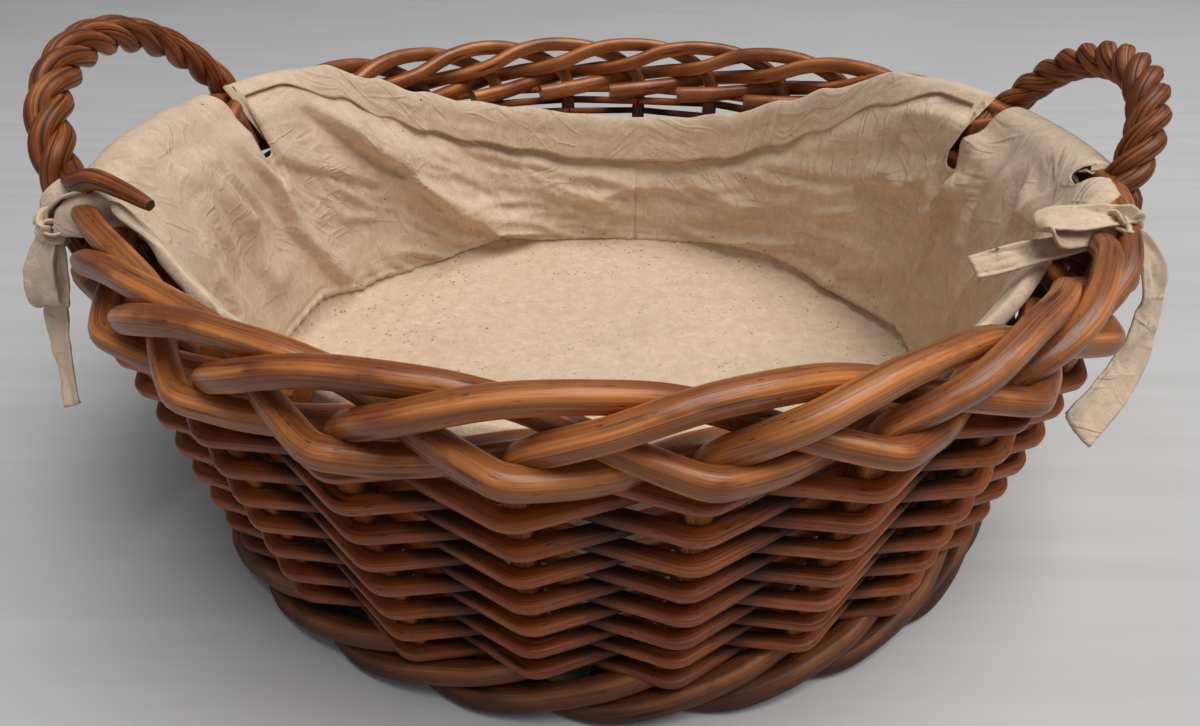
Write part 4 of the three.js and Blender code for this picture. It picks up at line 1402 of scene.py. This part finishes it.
def floor_panel_points():
    """Rings of points round the floor panel's middle, which comes first."""
    rings = [
        *np.linspace(0.01, FLAT_REACH, FLAT_RINGS),
        *np.linspace(FLAT_REACH, FLAT_REACH + 0.0001, EDGE_RINGS + 1)[1:]]
    verts = [(0.0, 0.0, FLAT_MIDDLE)]
    for i, ring in enumerate(rings, start=1):
        share = max(0.0, (i - FLAT_RINGS) / EDGE_RINGS)
        for sector in range(SECTORS):
            angle = 2 * math.pi * sector / SECTORS
            x, y = ring * math.cos(angle), ring * math.sin(angle)
            soft = noise.fractal(Vector((x * 11, y * 11, 3.3)), 0.9, 2.1, 2) * 0.9
            small = noise.fractal(Vector((x * 55, y * 55, 8.3)), 0.9, 2.1, 3) * 0.6
            rise = max(1.0, seam_rise(STAKE_COUNT * sector / SECTORS))
            full = math.acos(max(0.0, 1 - rise / EDGE_BEND))
            turn = min(share * (EDGE_RUN + max(0.0, rise - 8.0)) / EDGE_BEND, full)
            last = min(EDGE_RUN / EDGE_BEND, full)
            out = EDGE_BEND * math.sin(turn) + (EDGE_REACH - EDGE_BEND * math.sin(last)) * share
            high = EDGE_BEND * (1 - math.cos(turn)) + max(0.0, rise - EDGE_BEND) * share ** 2
            pucker = math.sin(angle * EDGE_PUCKERS + 3 * soft) * share ** 2 * 0.7
            radius = ring + MM * (out if share > 0 else 0.0)
            verts.append((
                radius * math.cos(angle), radius * math.sin(angle),
                FLAT_HEIGHT + MM * (soft * (1 - share) + small + pucker * 0.5 + high)))
    return verts


def cloth_object(name, verts, faces, uvs, thickness):
    """A sheet of calico with its threads' UV map, given its thickness by Solidify."""
    mesh = bpy.data.meshes.new(name)
    mesh.from_pydata([tuple(v) for v in verts], [], faces)
    layer = mesh.uv_layers.new(name="threads")
    flat = [value for corners in uvs for corner in corners for value in corner]
    layer.data.foreach_set("uv", flat)
    mesh.polygons.foreach_set("use_smooth", [True] * len(mesh.polygons))
    piece = bpy.data.objects.new(name, mesh)
    bpy.context.scene.collection.objects.link(piece)
    mesh.materials.append(shared_material("undyed_calico"))
    body = piece.modifiers.new("cloth", "SOLIDIFY")
    body.thickness = thickness
    body.offset = 0.0
    return piece


class BASKET_OT_make_lining(bpy.types.Operator):
    """Make the lining's floor panel and wall panel"""
    bl_idname = "basket.make_lining"
    bl_label = "Make lining"

    def execute(self, context):
        sizes = context.scene.basket_lining
        grid, across, lengths = lining_grid(sizes.crumple)
        columns, rows = grid.shape[:2]
        verts = grid.reshape(-1, 3)
        faces, uvs = [], []
        for i in range(columns):
            j = (i + 1) % columns
            wrap = STAKE_COUNT * SPAN * MM if j == 0 else 0.0
            for row in range(rows - 1):
                corners = [(i, row), (i, row + 1), (j, row + 1), (j, row)]
                faces.append(tuple(c * rows + r for c, r in corners))
                uvs.append([
                    (across[c, r] + (wrap if c == j else 0.0), lengths[c, r]) for c, r in corners])
        wall = cloth_object("calico_wall_panel", verts, faces, uvs, sizes.thickness)
        settle(wall, "lining_wall_panel")

        verts = floor_panel_points()
        faces = [(0, 1 + s, 1 + (s + 1) % SECTORS) for s in range(SECTORS)]
        for ring in range(FLAT_RINGS + EDGE_RINGS - 1):
            base = 1 + ring * SECTORS
            for s in range(SECTORS):
                t = (s + 1) % SECTORS
                faces.append((base + s, base + SECTORS + s, base + SECTORS + t, base + t))
        uvs = [[(verts[v][0], verts[v][1]) for v in face] for face in faces]
        floor = cloth_object("calico_floor_panel", verts, faces, uvs, sizes.thickness)
        settle(floor, "lining_floor_panel")
        return {"FINISHED"}


# Ties, in millimetres

KNOTS = {
    "left": ((-245, -109, 173), (-0.75, -0.65, 0.1), 3),
    "right": ((217, -124, 184), (0.4, -0.8, 0.45), 13),
}
# A band's reach outwards and its height, for the first and the second band of a knot
BAND_REACHES = ((5.6, 5.2), (6.4, 6.0))
BAND_STEPS = 11
BAND_WIDTH = 11
BAND_CURL = 0.16
# Each strip: its points, where its face points, its width at each point as a share of the tie's,
# the seed of its creases and how far it is bent lengthwise
TIE_STRIPS = {
    "left": [
        ([(-226, -102, 190), (-237, -105, 188.5), (-245, -107, 182), (-247, -108, 174)],
         [(-0.2, -0.1, 1), (-0.5, -0.3, 0.8), (-0.8, -0.6, 0.3), (-0.8, -0.6, 0)],
         [0.8, 0.65, 0.45, 0.35], 5, 0.0),
        ([(-246, -108, 170), (-253, -109, 150), (-257, -112, 128), (-256, -120, 108),
          (-252, -131, 92)],
         [(-0.3, -0.9, 0.1), (-0.3, -0.9, 0), (-0.2, -0.95, 0), (-0.4, -0.9, 0),
          (-0.2, -0.9, 0)],
         [0.3, 0.4, 0.45, 0.5, 0.5], 7, 0.08),
        ([(-245, -110, 173), (-251, -115, 161), (-255, -117, 147), (-255.5, -117, 139),
          (-255, -113.5, 135.5), (-254, -110, 140), (-251, -108.5, 152), (-246, -108, 168)],
         [(-0.3, -0.9, 0.4), (-0.4, -0.9, 0.2), (-0.3, -0.95, 0), (-0.3, -0.8, -0.4),
          (0, 0, -1), (0.3, 0.9, -0.2), (0.3, 0.9, 0), (0.4, 0.8, 0)],
         [0.3, 0.5, 0.58, 0.58, 0.58, 0.55, 0.5, 0.3], 9, 0.05),
    ],
    "right": [
        ([(220, -126, 181), (231, -130, 170), (236, -132, 156), (235, -137, 142),
          (231, -142, 128), (220, -152, 115), (204, -163, 105)],
         [(0.5, -0.8, 0.3), (0.5, -0.85, 0.2), (0.4, -0.9, 0.1), (0.3, -0.9, 0.2),
          (0.1, -0.9, 0.4), (0.1, -0.9, 0.4), (0.2, -0.9, 0.4)],
         [0.35, 0.5, 0.56, 0.6, 0.66, 0.72, 0.76], 17, 0.08),
        ([(221, -122, 187), (208, -125, 188), (194, -128, 188.5), (182, -131, 188),
          (178.5, -132, 186), (183, -132.5, 183.5), (197, -129, 182), (210, -125.5, 181.5),
          (221, -122, 182)],
         [(0.1, -0.5, 0.85), (0, -0.5, 0.85), (0, -0.5, 0.85), (-0.4, -0.4, 0.8),
          (-1, -0.2, 0), (-0.3, 0.4, -0.8), (0, 0.5, -0.8), (0, 0.5, -0.8), (0, 0.5, -0.8)],
         [0.28, 0.42, 0.5, 0.54, 0.54, 0.54, 0.46, 0.38, 0.28], 19, 0.04),
        ([(221, -122, 181.5), (207, -126, 179), (191, -129.5, 176.5), (171, -134, 173.5),
          (152, -138, 170.5)],
         [(0, -0.55, 0.8), (0, -0.6, 0.8), (0, -0.6, 0.8), (-0.1, -0.6, 0.8),
          (-0.1, -0.6, 0.8)],
         [0.28, 0.36, 0.4, 0.42, 0.42], 23, 0.06),
    ],
}
RIBBON_STRIPS = 14
RIBBON_CREASE = 0.0022
RIBBON_EDGE = 0.0006
THREAD_WIDTH = 0.026


def ribbon(points, facings, widths, seed, curl):
    """A strip of cloth along a path. facings point out of its face, curl bends it lengthwise."""
    path = smooth_path([Vector(p) * MM for p in points], RIBBON_SPACING)
    shares = np.linspace(0, 1, len(points))
    wanted = np.linspace(0, 1, len(path))
    faces_at = np.stack([
        np.interp(wanted, shares, [f[k] for f in facings]) for k in range(3)], axis=1)
    wide = np.interp(wanted, shares, widths) * MM
    along = directions(path)
    verts, uvs = [], []
    run = 0.0
    for i, point in enumerate(path):
        if i:
            run += (path[i] - path[i - 1]).length
        facing = Vector(faces_at[i])
        facing = (facing - along[i] * facing.dot(along[i])).normalized()
        side = along[i].cross(facing)
        for s in range(RIBBON_STRIPS + 1):
            u = s / RIBBON_STRIPS - 0.5
            crease = noise.fractal(
                Vector((u * 1.6 + seed, run * 40, seed * 2.1)), 0.9, 2.1, 3) * RIBBON_CREASE
            bend = curl * wide[i] * (4 * u * u - 1)
            edge = RIBBON_EDGE * (abs(u) > 0.38)
            verts.append(point + side * (u * wide[i]) + facing * (crease + bend + edge))
            uvs.append((u * THREAD_WIDTH, run))
    faces = []
    for i in range(len(path) - 1):
        for s in range(RIBBON_STRIPS):
            a = i * (RIBBON_STRIPS + 1) + s
            b = a + RIBBON_STRIPS + 1
            faces.append((a, a + 1, b + 1, b))
    return verts, faces, uvs


def join_strips(name, strips, thickness):
    """One piece of cloth from several ribbons."""
    verts, faces, uvs = [], [], []
    for strip_verts, strip_faces, strip_uvs in strips:
        base = len(verts)
        verts += strip_verts
        for face in strip_faces:
            faces.append(tuple(v + base for v in face))
            uvs.append([strip_uvs[v] for v in face])
    return cloth_object(name, verts, faces, uvs, thickness)


def knot_ribbons(centre, out, seed):
    """Two bands wound round each other at the knot's centre."""
    centre = Vector(centre)
    out = Vector(out).normalized()
    along = Vector((0, 0, 1)).cross(out).normalized()
    up = out.cross(along)
    made = []
    axes = ((along, up), (up * 0.8 + along * 0.6, along * 0.8 - up * 0.6))
    for turn, ((a, b), (reach, high)) in enumerate(zip(axes, BAND_REACHES)):
        points, facings = [], []
        for step in range(BAND_STEPS):
            angle = 2 * math.pi * step / 9
            away = out * (math.cos(angle) * 0.8) + b * math.sin(angle)
            points.append(tuple(centre + out * (math.cos(angle) * reach * 0.75) + b * (
                math.sin(angle) * high) + a * (1.5 * (step / (BAND_STEPS - 1) - 0.5))))
            facings.append(tuple(away))
        widths = [BAND_WIDTH + 2 * math.sin(step * 1.7 + seed) for step in range(BAND_STEPS)]
        made.append(ribbon(points, facings, widths, seed + turn, BAND_CURL))
    return made


class BASKET_OT_make_ties(bpy.types.Operator):
    """Make the ties that are knotted at the handles' front feet"""
    bl_idname = "basket.make_ties"
    bl_label = "Make ties"

    def execute(self, context):
        sizes = context.scene.basket_lining
        wide = sizes.tie_width / MM
        for hand, knot in KNOTS.items():
            strips = knot_ribbons(*knot)
            for points, facings, shares, seed, curl in TIE_STRIPS[hand]:
                strips.append(ribbon(
                    points, facings, [wide * share for share in shares], seed, curl))
            piece = join_strips(f"calico_{hand}_tie", strips, sizes.thickness * 1.3)
            settle(piece, f"{hand}_lining_tie")
        return {"FINISHED"}


# Floor, light and camera, in metres

FLOOR_CORNERS = [(-6, -6, 0), (6, -6, 0), (6, 14, 0), (-6, 14, 0)]
SKY_TONE = (0.86, 0.92, 1.0, 1.0)
SKY_LIGHT = 0.17
SKY_SEEN = 0.64  # more of it where the camera looks at it straight
LAMP_TARGET = Vector((0.0, 0.0, 0.1))
# Each lamp's place, size, share of the lamp power and colour
LAMPS = {
    "soft_overhead": ((1.25, -0.5, 4.0), 3.3, 1.0, (1.0, 0.97, 0.93)),
    "soft_front": ((-0.9, -1.8, 1.1), 1.2, 0.0115, (1.0, 0.98, 0.96)),
}
CAMERA_PLACE = (-0.004, -0.4387, 0.3161)
CAMERA_DOWN = 0.573
CAMERA_ROLL = -0.007
SENSOR_WIDTH = 36.0  # the sensor and the lens are in millimetres
FOCAL_LENGTH = 24.0


class BASKET_OT_make_stage(bpy.types.Operator):
    """Make the floor, the lights and the camera"""
    bl_idname = "basket.make_stage"
    bl_label = "Make stage"

    def execute(self, context):
        scene = context.scene
        sizes = scene.basket_stage
        mesh = bpy.data.meshes.new("pale_floor")
        mesh.from_pydata(FLOOR_CORNERS, [], [(0, 1, 2, 3)])
        mesh.materials.append(floor_material("pale_floor", sizes.floor_tone))
        floor = bpy.data.objects.new("pale_floor", mesh)
        scene.collection.objects.link(floor)

        world = bpy.data.worlds.new("soft_room")
        world.use_nodes = True
        scene.world = world
        board = Board(world.node_tree)
        sky = world.node_tree.nodes["Background"]
        seen = board.node("ShaderNodeLightPath", {}, {}, "Is Camera Ray")
        board.join(sky.inputs["Color"], SKY_TONE)
        board.join(sky.inputs["Strength"], SKY_LIGHT + seen * SKY_SEEN)

        for name, (place, size, share, colour) in LAMPS.items():
            lamp = bpy.data.lights.new(name, "AREA")
            lamp.shape = "SQUARE"
            lamp.size = size
            lamp.energy = sizes.lamp_power * share
            lamp.color = colour
            light = bpy.data.objects.new(name, lamp)
            light.location = place
            aim = (LAMP_TARGET - Vector(place)).to_track_quat("-Z", "Y")
            light.rotation_euler = aim.to_euler()
            scene.collection.objects.link(light)

        lens = bpy.data.cameras.new("photo_camera")
        lens.sensor_width = SENSOR_WIDTH
        lens.lens = FOCAL_LENGTH
        camera = bpy.data.objects.new("photo_camera", lens)
        camera.location = CAMERA_PLACE
        camera.rotation_euler = (math.pi / 2 - CAMERA_DOWN, CAMERA_ROLL, 0.0)
        scene.collection.objects.link(camera)
        scene.camera = camera
        scene.view_settings.view_transform = "Standard"
        return {"FINISHED"}


class BASKET_PT_parts(bpy.types.Panel):
    """Lists the basket's makers and sizes in the sidebar"""
    bl_label = "Wicker basket"
    bl_idname = "BASKET_PT_parts"
    bl_space_type = "VIEW_3D"
    bl_region_type = "UI"
    bl_category = "Basket"

    def draw(self, context):
        layout = self.layout
        scene = context.scene
        for maker in MAKERS:
            layout.operator(maker.bl_idname)
        for label in GROUPS:
            box = layout.box()
            group = getattr(scene, label)
            for key in group.bl_rna.properties.keys():
                if key not in ("rna_type", "name"):
                    box.prop(group, key)


MAKERS = (
    BASKET_OT_make_stage, BASKET_OT_make_stakes, BASKET_OT_make_weavers, BASKET_OT_make_base,
    BASKET_OT_make_handles, BASKET_OT_make_lining, BASKET_OT_make_ties,
)
GROUPS = {
    "basket_wicker": WickerSizes, "basket_handles": HandleSizes, "basket_lining": LiningSizes,
    "basket_stage": StageSizes,
}


def register():
    for item in (*GROUPS.values(), *MAKERS, BASKET_PT_parts):
        bpy.utils.register_class(item)
    for label, group in GROUPS.items():
        setattr(bpy.types.Scene, label, PointerProperty(type=group))


def unregister():
    for label in GROUPS:
        delattr(bpy.types.Scene, label)
    for item in reversed((*GROUPS.values(), *MAKERS, BASKET_PT_parts)):
        bpy.utils.unregister_class(item)


def main():
    register()
    bpy.ops.basket.make_stage()
    bpy.ops.basket.make_stakes()
    bpy.ops.basket.make_weavers()
    bpy.ops.basket.make_base()
    bpy.ops.basket.make_handles()
    bpy.ops.basket.make_lining()
    bpy.ops.basket.make_ties()


if __name__ == "__main__":
    main()
